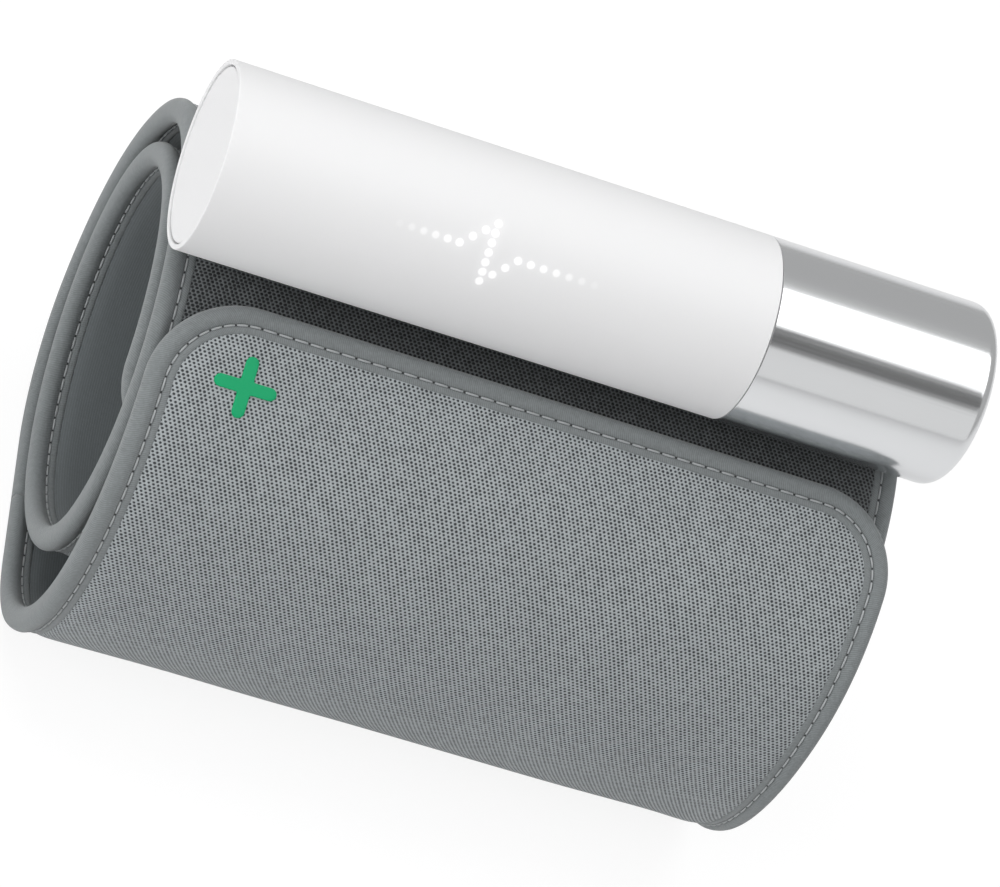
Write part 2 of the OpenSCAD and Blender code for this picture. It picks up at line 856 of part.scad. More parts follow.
// ================================================================ air parts
module pressure_sensor() {
    color([0.16, 0.16, 0.17])
        in_tube()
            slab(44, 51, -3.5, 3.5, -1.4, deck);
}

man_low = -ch_in + 1.9;
module air_manifold() {
    color([0.8, 0.79, 0.75])
        in_tube()
            difference() {
                union() {
                    slab(man_x[0], man_x[1], -5, 5, man_low, -1.5);
                    slab(man_x[1] - 5, man_x[1], 4, 12.2, -6.6, -2.2);
                }
                // gallery, stem socket, sensor port, exhaust and hose port
                rod(1.3, man_x[0] + 1.5, man_x[1] - 1.5, 0, -7);
                post(1.2, nipple_x, 0, man_low - 1, -7);
                post(1, 47, 0, -7, 0);
                rod(0.9, man_x[0] - 1, man_x[0] + 3, 0, valve_z);
                translate([man_x[1] - 2.5, 0, hose_z])
                    rotate([-90, 0, 0])
                        cylinder(r = 1, h = hose_y, $fn = 48);
                post(1, man_x[1] - 2.5, 0, -7, hose_z);
                rod(1, man_x[1] - 3, man_x[1] + 1, hose_y, hose_z);
            }
}

module air_hose() {
    color([0.75, 0.75, 0.74])
        in_tube()
            difference() {
                rod(hose_d / 2, man_x[1], pump_x, hose_y, hose_z);
                rod(hose_d / 2 - 0.8, man_x[1] - 1, pump_x + 1, hose_y, hose_z);
            }
}

module valve_body() {
    color([0.5, 0.5, 0.52])
        in_tube()
            difference() {
                rod(valve_d / 2, valve_x[0], valve_x[1], 0, valve_z);
                rod(2.05, valve_x[0] + 4, valve_x[1] + 1, 0, valve_z);
            }
}

// Plunger with a rubber tip that closes the exhaust of the manifold
module valve_plunger() {
    color([0.35, 0.35, 0.36])
        in_tube()
            rod(2, valve_x[0] + 5.5, man_x[0] - valve_stroke - 0.05, 0, valve_z);
}

pump_r = ch_in - 0.1;
module pump_cap() {
    color([0.25, 0.26, 0.28])
        in_tube()
            difference() {
                rod(pump_r, pump_at(0), pump_at(4));
                rod(8, pump_at(1.5), pump_at(5));
                rod(1.1, pump_at(-1), pump_at(2.4), hose_y, hose_z);
                slab(pump_at(1.6), pump_at(2.4), 0, hose_y, hose_z - 0.8, hose_z + 0.8);
            }
}

module pump_diaphragm() {
    color([0.12, 0.12, 0.13])
        in_tube()
            difference() {
                rod(pump_r, pump_at(4), pump_at(5.2));
                for (a = [90, 210, 330])
                    rotate([a, 0, 0])
                        difference() {
                            rod(2.8, pump_at(4.8), pump_at(6), 6.2, 0);
                            rod(1.6, pump_at(4), pump_at(7), 6.2, 0);
                        }
            }
}

module pump_housing() {
    color([0.2, 0.21, 0.23])
        in_tube()
            difference() {
                rod(pump_r, pump_at(5.2), pump_at(12));
                rod(10, pump_at(5.1), pump_at(11));
                rod(1.3, pump_at(10), pump_at(13));
            }
}

module pump_motor() {
    color([0.66, 0.67, 0.69])
        in_tube()
            difference() {
                union() {
                    rod(motor_d / 2, pump_at(12), pump_at(31));
                    rod(2.5, pump_at(30), pump_at(32));
                }
                rod(1.05, pump_at(11), pump_at(31.2));
            }
}

// Shaft and eccentric that drives the diaphragm
module pump_rotor() {
    color([0.8, 0.8, 0.81])
        in_tube() {
            rod(1, pump_at(8), pump_at(31));
            rod(cam_r, pump_at(6), pump_at(10.6), 1.8, 0);
        }
}

flap_mesh();
flap_padding();
flap_lining();
flap_binding();
hook_patch();
plus_mark();
wrap_mesh();
wrap_padding();
wrap_lining();
wrap_binding();
air_bladder();
stiffener();
clamp_plate();
saddle();
mount_screws();
air_nipple();
nipple_seal();
white_shell();
metal_sleeve();
coupling_ring();
button_cap();
button_clip();
button_spring();
button_guide();
switch_body();
switch_actuator();
chassis();
main_board();
board_screws();
board_chips();
led_board();
led_chips();
light_mask();
flex_strip();
battery_cell();
battery_contacts();
pressure_sensor();
air_manifold();
air_hose();
valve_body();
valve_plunger();
pump_cap();
pump_diaphragm();
pump_housing();
pump_motor();
pump_rotor();
charging_port();
port_board();
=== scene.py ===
"""Arm-in blood pressure monitor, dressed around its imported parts.

A tube, white for most of its length and bare metal at one end, lies on a padded strip that goes once
round the outside and once more inside, like a spiral. Every new surface is a grid of points worked
out with numpy in millimetres and put into a mesh in metres.
"""

import json
import logging
from dataclasses import dataclass, field
from enum import Enum

import bpy
import numpy as np
from mathutils import Matrix
from numpy.typing import NDArray


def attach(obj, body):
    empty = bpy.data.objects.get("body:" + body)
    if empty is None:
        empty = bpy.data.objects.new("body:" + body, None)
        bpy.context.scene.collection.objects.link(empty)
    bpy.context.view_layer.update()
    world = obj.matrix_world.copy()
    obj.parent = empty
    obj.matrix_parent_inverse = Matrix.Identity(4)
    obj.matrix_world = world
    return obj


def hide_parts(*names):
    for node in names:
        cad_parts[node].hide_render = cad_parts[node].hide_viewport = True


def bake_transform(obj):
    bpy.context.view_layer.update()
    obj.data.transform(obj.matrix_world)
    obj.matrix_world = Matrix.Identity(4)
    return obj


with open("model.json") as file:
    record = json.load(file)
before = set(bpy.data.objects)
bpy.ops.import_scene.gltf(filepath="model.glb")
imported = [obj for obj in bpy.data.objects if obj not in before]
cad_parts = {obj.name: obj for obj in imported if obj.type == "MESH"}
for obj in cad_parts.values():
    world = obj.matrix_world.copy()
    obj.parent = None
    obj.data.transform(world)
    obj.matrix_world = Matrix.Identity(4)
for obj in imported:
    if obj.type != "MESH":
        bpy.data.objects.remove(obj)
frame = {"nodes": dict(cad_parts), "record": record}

Array = NDArray[np.float64]
Faces = NDArray[np.int64]
Colour = tuple[float, float, float]
Material = bpy.types.Material
Node = bpy.types.Node
Socket = bpy.types.NodeSocket
MM = 0.001
STITCH_PITCH = 3.1
BLACK: Colour = (0.0, 0.0, 0.0)
log = logging.getLogger("monitor")


# ---------------------------------------------------------------- number helpers
def ease(low: float, high: float, value: Array) -> Array:
    """Smooth step from 0 at low to 1 at high: 3 t squared less 2 t cubed."""
    t = np.clip((value - low) / (high - low), 0.0, 1.0)
    return t * t * (3.0 - 2.0 * t)


def rounded(points: Array, passes: int = 2) -> Array:
    """Rounds an open line of points by cutting each corner at a quarter and three quarters.

    Args:
        points: The line, one row a point.
        passes: How often the corners are cut.

    Returns:
        The finer line, with the same two ends.
    """
    for _ in range(passes):
        near = 0.75 * points[:-1] + 0.25 * points[1:]
        far = 0.25 * points[:-1] + 0.75 * points[1:]
        middle = np.stack([near, far], 1).reshape(-1, points.shape[1])
        points = np.vstack([points[:1], middle[1:-1], points[-1:]])
    return points


def ripple(a: Array, b: Array, seed: int, shortest: float, longest: float) -> Array:
    """Sum of eight sine waves over a and b with seeded directions and lengths, about -1 to 1."""
    rng = np.random.default_rng(seed)
    turn = rng.uniform(0, np.pi, 8)
    length = rng.uniform(shortest, longest, 8)
    phase = rng.uniform(0, 2 * np.pi, 8)
    angle = (a[..., None] * np.cos(turn) + b[..., None] * np.sin(turn)) * 2 * np.pi / length
    return np.sin(angle + phase).sum(-1) / 4.0


def grid_faces(rows: int, cols: int, wrap: bool = False) -> Faces:
    """Quads of a grid whose points are counted row by row; wrap joins the last column to the first."""
    r, c = np.meshgrid(np.arange(rows - 1), np.arange(cols if wrap else cols - 1), indexing="ij")
    here, side = r * cols + c, r * cols + (c + 1) % cols
    return np.stack([here, side, side + cols, here + cols], -1).reshape(-1, 4)


def ring_faces(rows: int, cols: int, wrap: bool = True) -> Faces:
    """Quads of a grid whose last row joins the first."""
    return grid_faces(rows + 1, cols, wrap) % (rows * cols)


def end_faces(rows: int, cols: int) -> list[Faces]:
    """The first and the last row of a grid as one face each."""
    row = np.arange(cols)[None]
    return [row[:, ::-1], row + (rows - 1) * cols]


def repeated(block: Faces, count: int, step: int) -> Faces:
    """The block of faces once for each of count equal bodies of step points."""
    return block[None] + (np.arange(count) * step)[:, None, None]


def turned(line: list[list[float]]) -> Array:
    """Corner of a turned section: rows of way and radius, rounded."""
    return rounded(np.array(line))


# ---------------------------------------------------------------- shapes and meshes
@dataclass
class Shape:
    """Closed surface: points in millimetres, blocks of faces, the finish of each block and point marks."""

    points: Array
    blocks: list[Faces]
    finish_of: list[int] = field(default_factory=list)
    marks: dict[str, Array] = field(default_factory=dict)

    def volume(self) -> float:
        """Signed volume: sum over fan triangles of a . (b x c) / 6."""
        total = 0.0
        for block in self.blocks:
            corner = self.points[block]
            for k in range(1, block.shape[1] - 1):
                normal = np.cross(corner[:, k], corner[:, k + 1])
                total += np.einsum("ij,ij->", corner[:, 0], normal) / 6.0
        return float(total)


def make_piece(name: str, shape: Shape, finishes: list[Material]) -> bpy.types.Object:
    """Puts a shape into a mesh object at the origin, with its faces pointing outwards.

    Args:
        name: The piece's name.
        shape: The closed surface in millimetres.
        finishes: The materials, in the order that the shape counts them.

    Returns:
        The new object, linked to the scene.
    """
    blocks = shape.blocks if shape.volume() > 0 else [b[:, ::-1] for b in shape.blocks]
    mesh = bpy.data.meshes.new(name)
    mesh.from_pydata((shape.points * MM).tolist(), [], [f for b in blocks for f in b.tolist()])
    picks = shape.finish_of or [0] * len(blocks)
    index = np.concatenate([np.full(len(b), p, np.int32) for b, p in zip(blocks, picks)])
    mesh.polygons.foreach_set("material_index", index)
    smooth = [np.full(len(b), b.shape[1] == 4) for b in blocks]
    mesh.polygons.foreach_set("use_smooth", np.concatenate(smooth))
    for mark, values in shape.marks.items():
        kind, key = ("FLOAT", "value") if values.ndim == 1 else ("FLOAT_VECTOR", "vector")
        layer = mesh.attributes.new(mark, kind, "POINT")
        layer.data.foreach_set(key, values.astype(np.float32).ravel())
    for finish in finishes:
        mesh.materials.append(finish)
    mesh.validate()
    mesh.update()
    piece = bpy.data.objects.new(name, mesh)
    bpy.context.scene.collection.objects.link(piece)
    log.info("%s: %d points, %d faces", name, len(shape.points), len(index))
    return piece


def slab(lower: Array, upper: Array, lower_mark: Array, upper_mark: Array) -> Shape:
    """Closed thin body between two grids of the same size.

    Each row runs along the upper grid and back along the lower one, the rows are joined in turn, and
    the first and last rows are closed by a strip of quads from one grid to the other.

    Args:
        lower: Inner grid, rows by columns by 3.
        upper: Outer grid of the same size.
        lower_mark: Three numbers for each inner point.
        upper_mark: Three numbers for each outer point.

    Returns:
        The shape: block 0 is the outer face, block 1 the inner face and the sides.
    """
    rows, cols = upper.shape[:2]
    loop = np.concatenate([upper, lower[:, ::-1]], 1)
    mark = np.concatenate([upper_mark, lower_mark[:, ::-1]], 1)
    faces = grid_faces(rows, 2 * cols, True).reshape(rows - 1, 2 * cols, 4)
    k = np.arange(cols - 1)
    back = 2 * cols - 1 - k
    first = np.stack([k, back, back - 1, k + 1], -1)
    last = np.stack([k, k + 1, back - 1, back], -1) + (rows - 1) * 2 * cols
    return Shape(
        loop.reshape(-1, 3),
        [faces[:, : cols - 1].reshape(-1, 4), faces[:, cols - 1 :].reshape(-1, 4), first, last],
        [0, 1, 1, 1],
        {"lay": mark.reshape(-1, 3)},
    )


# ---------------------------------------------------------------- node helpers
class Board:
    """Short way to place and join nodes in a material or a node group."""

    def __init__(self, tree: bpy.types.NodeTree) -> None:
        """Keeps the node tree."""
        self.tree = tree

    def feed(self, socket: Socket, value: object) -> None:
        """Joins a socket to the given one, or sets its value; three numbers on a colour get a fourth."""
        if isinstance(value, Socket):
            self.tree.links.new(value, socket)
        else:
            short = socket.type == "RGBA" and len(value) == 3
            socket.default_value = (*value, 1.0) if short else value

    def add(self, kind: str, settings: dict[str, object] | None = None, **inputs: object) -> Node:
        """Adds a node.

        Args:
            kind: The node's type without the prefix ShaderNode.
            settings: The node's own settings.
            inputs: Socket values or sockets to join, by socket name with _ for a space or iN for input N.

        Returns:
            The node.
        """
        node = self.tree.nodes.new("ShaderNode" + kind)
        for key, value in (settings or {}).items():
            setattr(node, key, value)
        for key, value in inputs.items():
            number = key[0] == "i" and key[1:].isdigit()
            self.feed(node.inputs[int(key[1:]) if number else key.replace("_", " ")], value)
        return node

    def math(self, what: str, a: object, b: object = 0.0, c: object = 0.0) -> Socket:
        """One sum on numbers or sockets."""
        return self.add("Math", {"operation": what}, i0=a, i1=b, i2=c).outputs[0]

    def plus(self, a: object, b: object) -> Socket:
        """The sum a + b."""
        return self.math("ADD", a, b)

    def less(self, a: object, b: object) -> Socket:
        """The difference a - b."""
        return self.math("SUBTRACT", a, b)

    def times(self, a: object, b: object) -> Socket:
        """The product a b."""
        return self.math("MULTIPLY", a, b)

    def over(self, a: object, b: object) -> Socket:
        """The quotient a / b."""
        return self.math("DIVIDE", a, b)

    def root(self, a: Socket, b: Socket) -> Socket:
        """Square root of the sum a + b."""
        return self.math("SQRT", self.plus(a, b))

    def cell(self, count: Socket, size: object) -> Socket:
        """Distance from the middle of a cell of the given size, from a count of such cells."""
        return self.times(self.less(self.math("FRACT", count), 0.5), size)

    def blend(self, share: object, first: object, second: object) -> Socket:
        """Colour between first and second by share."""
        return self.add("Mix", {"data_type": "RGBA"}, i0=share, i6=first, i7=second).outputs[2]

    def span(self, value: object, low: float, high: float, start: float, end: float) -> Socket:
        """Smooth change from start, where value is low, to end, where it is high."""
        smooth = {"interpolation_type": "SMOOTHSTEP"}
        return self.add("MapRange", smooth, i0=value, i1=low, i2=high, i3=start, i4=end).outputs[0]


def group(
    name: str, inputs: dict[str, float], outputs: list[str]
) -> tuple[Board, bpy.types.NodeOutputs, bpy.types.NodeInputs]:
    """Starts a shader node group with number inputs and number outputs.

    Args:
        name: The group's name.
        inputs: Default value of each number input; an input named Lay is a vector.
        outputs: Names of the number outputs.

    Returns:
        The board to fill, the sockets that are given and the sockets to feed.
    """
    tree = bpy.data.node_groups.new(name, "ShaderNodeTree")
    for key, value in inputs.items():
        kind = "NodeSocketVector" if key == "Lay" else "NodeSocketFloat"
        socket = tree.interface.new_socket(key, in_out="INPUT", socket_type=kind)
        if key != "Lay":
            socket.default_value = value
    for key in outputs:
        tree.interface.new_socket(key, in_out="OUTPUT", socket_type="NodeSocketFloat")
    given, out = tree.nodes.new("NodeGroupInput"), tree.nodes.new("NodeGroupOutput")
    return Board(tree), given.outputs, out.inputs


class Effects:
    """Node groups that more than one finish uses; each is made once."""

    @staticmethod
    def place(board: Board, name: str, **inputs: object) -> bpy.types.NodeOutputs:
        """Places the named group on a board, sets its inputs and gives its outputs."""
        if name not in bpy.data.node_groups:
            getattr(Effects, "_" + name)()
        node = board.tree.nodes.new("ShaderNodeGroup")
        node.node_tree = bpy.data.node_groups[name]
        for key, value in inputs.items():
            board.feed(node.inputs[key], value)
        return node.outputs

    @staticmethod
    def _grain() -> None:
        """Fine even grain on object coordinates: Height of about 0.5, and Tint, a slow change from 0 to 1."""
        b, given, out = group("grain", {"Scale": 900.0}, ["Height", "Tint"])
        place = b.add("TexCoord").outputs["Object"]
        fine = b.add("TexNoise", Vector=place, Scale=given["Scale"], Detail=3.0)
        slow = b.add("TexNoise", Vector=place, Scale=35.0, Detail=2.0)
        b.feed(out["Height"], fine.outputs[0])
        b.feed(out["Tint"], slow.outputs[0])

    @staticmethod
    def _knit() -> None:
        """Staggered rows of small holes, a little uneven.

        The row number is the whole part of s / Row, and each row is moved back by 0.392 of a pitch. Hole is
        1 inside a hole and 0 on the threads, from the distance to the cell's middle, where x counts 0.8.
        """
        b, given, out = group(
            "knit", {"Lay": 0.0, "Pitch": 0.905, "Row": 0.653, "Size": 0.2}, ["Hole", "Height"]
        )
        lay = b.add("SeparateXYZ", Vector=given["Lay"]).outputs
        uneven = b.add("TexNoise", Vector=given["Lay"], Scale=0.9, Detail=1.0).outputs[0]
        uneven = b.math("MULTIPLY_ADD", uneven, 0.16, -0.08)
        v = b.over(b.plus(lay[1], uneven), given["Row"])
        moved = b.times(b.math("FLOOR", v), -0.392)
        u = b.plus(b.over(b.plus(lay[0], uneven), given["Pitch"]), moved)
        dx, dy = b.cell(u, given["Pitch"]), b.cell(v, given["Row"])
        far = b.root(b.times(dx, b.times(dx, 0.8)), b.times(dy, dy))
        hole = b.span(b.over(far, given["Size"]), 0.6, 1.3, 1.0, 0.0)
        b.feed(out["Hole"], hole)
        b.feed(out["Height"], b.less(1.0, hole))

    @staticmethod
    def _twill() -> None:
        """Fine ribs across the first direction of Lay, a little uneven: Height and Tint from 0 to 1."""
        b, given, out = group("twill", {"Lay": 0.0, "Pitch": 0.42, "Slant": 0.5}, ["Height", "Tint"])
        lay = b.add("SeparateXYZ", Vector=given["Lay"]).outputs
        noise = b.add("TexNoise", Vector=given["Lay"], Scale=1.6, Detail=3.0).outputs[0]
        along = b.plus(lay[0], b.times(lay[1], given["Slant"]))
        phase = b.times(b.over(along, given["Pitch"]), 2 * np.pi)
        wave = b.math("SINE", b.plus(phase, b.times(noise, 3.0)))
        b.feed(out["Height"], b.math("MULTIPLY_ADD", wave, 0.35, noise))
        b.feed(out["Tint"], noise)


@dataclass(frozen=True)
class Finish:
    """Plain finish: one colour that varies a little, a roughness and a fine grain."""

    name: str
    colour: Colour
    roughness: float = 0.5
    metallic: float = 0.0
    grain: float = 900.0
    depth: float = 0.00002
    variation: float = 0.06
    sheen: float = 0.0
    coat: float = 0.0
    specular: float = 0.5

    def make(self) -> Material:
        """New material: constants are set on the shader's own sockets, and fill adds the rest."""
        material = bpy.data.materials.new(self.name)
        material.use_nodes = True
        shader = material.node_tree.nodes["Principled BSDF"]
        constants = {
            "Metallic": self.metallic, "Roughness": self.roughness, "Sheen Weight": self.sheen,
            "Sheen Roughness": 0.5, "Specular IOR Level": self.specular, "Coat Weight": self.coat,
        }
        for key, value in constants.items():
            shader.inputs[key].default_value = value
        self.fill(Board(material.node_tree), shader)
        return material

    def tinted(self, board: Board, tint: Socket) -> Socket:
        """Colour from darker to lighter by the tint."""
        dark = tuple(c * (1 - self.variation) for c in self.colour)
        return board.blend(tint, dark, tuple(min(1.0, c * (1 + self.variation)) for c in self.colour))

    def relief(self, board: Board, shader: Node, strength: float, height: Socket) -> None:
        """Joins a height to the shader as a bump of the finish's depth."""
        bump = board.add("Bump", Strength=strength, Distance=self.depth, Height=height)
        board.feed(shader.inputs["Normal"], bump.outputs[0])

    def shades(self, board: Board, shader: Node, tint: Socket, height: Socket) -> None:
        """Joins a tint and a height to the shader."""
        board.feed(shader.inputs["Base Color"], self.tinted(board, tint))
        self.relief(board, shader, 0.6, height)

    def grained(self, board: Board, shader: Node) -> Socket:
        """Joins the grain on object coordinates to the shader and gives its height."""
        grain = Effects.place(board, "grain", Scale=self.grain)
        self.shades(board, shader, grain["Tint"], grain["Height"])
        return grain["Height"]

    def fill(self, board: Board, shader: Node) -> None:
        """The grain on object coordinates."""
        height = self.grained(board, shader)
        rough = board.span(height, 0.2, 0.8, self.roughness * 0.85, min(1.0, self.roughness * 1.15))
        board.feed(shader.inputs["Roughness"], rough)


@dataclass(frozen=True)
class KnitFinish(Finish):
    """Knitted mesh: light threads round rows of dark holes, with painted shade where it lies tucked under the
    tube.
    """

    hole: Colour = (0.03, 0.033, 0.036)
    size: float = 0.2
    # Painted shade under the tube: the four ways along the strip where it rises and falls, the share of the
    # colour that stays, and how much wider the holes get.
    painted_shade_band: tuple[float, float, float, float] = (276.0, 298.0, 338.0, 362.0)
    painted_shade_keep: float = 0.42
    painted_shade_hole_growth: float = 0.05

    def fill(self, board: Board, shader: Node) -> None:
        """Follows the mark lay, which holds x and s in millimetres."""
        lay = board.add("Attribute", {"attribute_name": "lay"}).outputs["Vector"]
        # Painted shade: from 276 to 362 mm along the strip, where the mesh lies under the tube, the holes
        # grow and the colour is mixed towards black.
        way = board.add("SeparateXYZ", Vector=lay).outputs[1]
        under_tube_shade = board.times(
            board.span(way, *self.painted_shade_band[:2], 0.0, 1.0), board.span(way, *self.painted_shade_band[2:], 1.0, 0.0)
        )
        patchy = board.add("TexNoise", Vector=lay, Scale=0.8, Detail=2.0).outputs[0]
        size = board.span(patchy, 0.3, 0.7, self.size * 0.86, self.size * 1.14)
        size = board.math("MULTIPLY_ADD", under_tube_shade, self.painted_shade_hole_growth, size)
        knit = Effects.place(board, "knit", Lay=lay, Size=size)
        cloudy = board.add("TexNoise", Vector=lay, Scale=0.06, Detail=4.0, Roughness=0.6).outputs[0]
        fine = board.add("TexNoise", Vector=lay, Scale=3.1, Detail=2.0).outputs[0]
        tint = board.math("MULTIPLY_ADD", fine, 0.6, board.times(cloudy, 0.4))
        colour = board.blend(knit["Hole"], self.tinted(board, tint), self.hole)
        colour = board.blend(board.times(under_tube_shade, 1 - self.painted_shade_keep), colour, BLACK)
        board.feed(shader.inputs["Base Color"], colour)
        self.relief(board, shader, 0.8, board.math("MULTIPLY_ADD", fine, 0.25, knit["Height"]))


@dataclass(frozen=True)
class WeaveFinish(Finish):
    """Woven cloth or tape with fine ribs; stitch_at puts dark needle holes at that distance from the edge,
    with painted shade along the sewn groove.
    """

    pitch: float = 0.42
    slant: float = 0.5
    stitch_at: float = 0.0

    def fill(self, board: Board, shader: Node) -> None:
        """Follows the mark lay; the needle holes lie in a groove that gets a line of painted shade."""
        lay = board.add("Attribute", {"attribute_name": "lay"}).outputs["Vector"]
        height = Effects.place(board, "twill", Lay=lay, Pitch=self.pitch, Slant=self.slant)["Height"]
        colour = self.tinted(board, height)
        if self.stitch_at:
            part = board.add("SeparateXYZ", Vector=lay).outputs
            along = board.cell(board.over(part[0], STITCH_PITCH), STITCH_PITCH)
            across = board.less(part[1], self.stitch_at)
            far = board.root(board.times(along, along), board.times(across, across))
            hole = board.span(far, 0.12, 0.34, 1.0, 0.0)
            # Painted shade: a dark line along the sewn groove, 0.35 at most, mixed with the needle holes
            # towards a darker copy of the colour.
            groove = board.span(board.math("ABSOLUTE", across), 0.1, 0.5, 0.35, 0.0)
            mark = board.math("MAXIMUM", hole, groove)
            colour = board.blend(mark, colour, tuple(c * 0.12 for c in self.colour))
            height = board.less(height, board.times(mark, 3.0))
        board.feed(shader.inputs["Base Color"], colour)
        self.relief(board, shader, 0.7, height)


@dataclass(frozen=True)
class BrushedFinish(Finish):
    """Drawn metal: hair lines along the tube, from noise that is stretched along X."""

    def fill(self, board: Board, shader: Node) -> None:
        """Hair lines on object coordinates."""
        place = board.add("TexCoord").outputs["Object"]
        long = board.add("Mapping", Vector=place, Scale=(14.0, 2600.0, 2600.0)).outputs[0]
        hair = board.add("TexNoise", Vector=long, Scale=1.0, Detail=2.0).outputs[0]
        slow = board.add("TexNoise", Vector=place, Scale=60.0, Detail=2.0).outputs[0]
        self.shades(board, shader, slow, hair)
        rough = board.span(hair, 0.25, 0.75, self.roughness * 0.8, self.roughness * 1.25)
        board.feed(shader.inputs["Roughness"], rough)


@dataclass(frozen=True)
class GlowFinish(Finish):
    """White plastic with light dots shining through; the mark glow says how strongly."""

    light: float = 0.42

    def fill(self, board: Board, shader: Node) -> None:
        """The grain, and an emission colour from the mark."""
        self.grained(board, shader)
        glow = board.add("Attribute", {"attribute_name": "glow"}).outputs["Fac"]
        board.feed(shader.inputs["Emission Color"], board.blend(glow, BLACK, (self.light,) * 3))
        shader.inputs["Emission Strength"].default_value = 1.0


@dataclass(frozen=True)
class CircuitFinish(Finish):
    """Circuit board: lacquer with lighter tracks, from the edges of a square cell pattern."""

    def fill(self, board: Board, shader: Node) -> None:
        """Tracks and grain on object coordinates."""
        place = board.add("TexCoord").outputs["Object"]
        tracks = board.add("TexBrick", Vector=place, Scale=420.0).outputs["Fac"]
        grain = Effects.place(board, "grain", Scale=self.grain)
        self.shades(board, shader, board.times(board.less(1.0, tracks), grain["Tint"]), grain["Height"])


# ---------------------------------------------------------------- the coiled strip
@dataclass(frozen=True)
class Coil:
    """Middle line of the strip across the tube: straights and arcs from the free edge inwards."""

    heading: float = -141.0
    radii: tuple[float, ...] = (0, 54, 50, 26, 0, 34, 59.5, 33, 0, 42, 41, 39.5, 39.5, 33, 36.5, 0)
    turns: tuple[float, ...] = (0, 46, 50, 45, 0, 60, 60, 70, 0, 70, 70, 70, 70, 60, 58, 0)
    straights: tuple[float, ...] = (17.8, 0, 0, 0, 30, 0, 0, 0, 10, 0, 0, 0, 0, 0, 0, 17.8)
    foot: int = 4
    seat: int = 8
    half: float = 2.3
    width: float = 150.8
    shift: float = -0.85
    corner: float = 17.8
    spread: float = 3.9
    tuck: float = 1.3

    def runs(self) -> tuple[Array, Array, Array, Array]:
        """Where each run starts along the strip, its start point, its heading and its curvature."""
        angle = np.radians(self.turns)
        radius = np.array(self.radii)
        length = np.where(angle > 0, radius * angle, self.straights)
        begin = np.concatenate([[0.0], np.cumsum(length)])
        head = np.radians(self.heading) + np.concatenate([[0.0], np.cumsum(angle)])[:-1]
        end = head + angle
        step = np.where(
            (angle > 0)[:, None],
            radius[:, None] * np.stack([np.sin(end) - np.sin(head), np.cos(head) - np.cos(end)], -1),
            length[:, None] * np.stack([np.cos(head), np.sin(head)], -1),
        )
        start = np.vstack([[0.0, 0.0], np.cumsum(step, 0)])[:-1]
        origin = start[self.foot] + [self.straights[self.foot] / 2, -self.half]
        bend = np.where(angle > 0, 1.0 / np.maximum(radius, 1.0), 0.0)
        return begin, start - origin, head, bend

    def length(self) -> float:
        """Length of the middle line."""
        return float(self.runs()[0][-1])

    def middle_of(self, run: int) -> float:
        """Way along the strip to the middle of a run."""
        begin = self.runs()[0]
        return float(begin[run] + begin[run + 1]) / 2

    def pinch(self, d: Array) -> Array:
        """How far the seam presses the cloth in at distance d from the edge: 0.75 at most, a bell curve."""
        return 0.75 * np.exp(-(((d - 3.6) / 2.3) ** 2))

    def give(self, x: Array, s: Array) -> Array:
        """How far the soft cloth has spread along the tube: nothing at the button end, most at the other."""
        far = self.spread - self.tuck * np.exp(-(((s - 66) / 26) ** 2))
        return far * (x / self.width + 0.5)

    def place(self, x: Array, s: Array, offset: Array, soft: bool = True) -> Array:
        """Point of the strip in space.

        On a straight the point goes on along the heading h. On an arc of radius r it is
        r (sin(h + s/r) - sin h, cos h - cos(h + s/r)) from the start. Offset goes along the outward
        normal (sin h, -cos h). Nothing goes below the table.

        Args:
            x: Way along the tube from the middle of the strip.
            s: Way along the strip from the free edge.
            offset: Distance outward from the middle line.
            soft: Whether the piece spreads with the cloth.

        Returns:
            X, Y and Z in millimetres in the last axis.
        """
        begin, start, head, bend = self.runs()
        x, s, offset = np.broadcast_arrays(x, s, offset)
        i = np.clip(np.searchsorted(begin, s, "right") - 1, 0, len(head) - 1)
        way, h0, k = s - begin[i], head[i], bend[i]
        h1 = h0 + way * k
        safe = np.where(k > 0, k, 1.0)
        y = start[i, 0] + np.where(k > 0, (np.sin(h1) - np.sin(h0)) / safe, way * np.cos(h0))
        z = start[i, 1] + np.where(k > 0, (np.cos(h0) - np.cos(h1)) / safe, way * np.sin(h0))
        y, z = y + offset * np.sin(h1), z - offset * np.cos(h1)
        across = x + self.shift + (self.give(x, s) if soft else 0.0)
        return np.stack([across, y, np.maximum(z, 0.0)], -1)

    def inset(self, x: Array, s: Array) -> Array:
        """Distance inward from the strip's outline, a rectangle with round corners."""
        total = self.length()
        qx = np.abs(x) - (self.width / 2 - self.corner)
        qs = np.abs(s - total / 2) - (total / 2 - self.corner)
        out = np.hypot(np.maximum(qx, 0), np.maximum(qs, 0)) + np.minimum(np.maximum(qx, qs), 0)
        return self.corner - out


class Side(Enum):
    """The two parts of the strip, split under the foot."""

    FLAP = "flap"
    WRAP = "wrap"


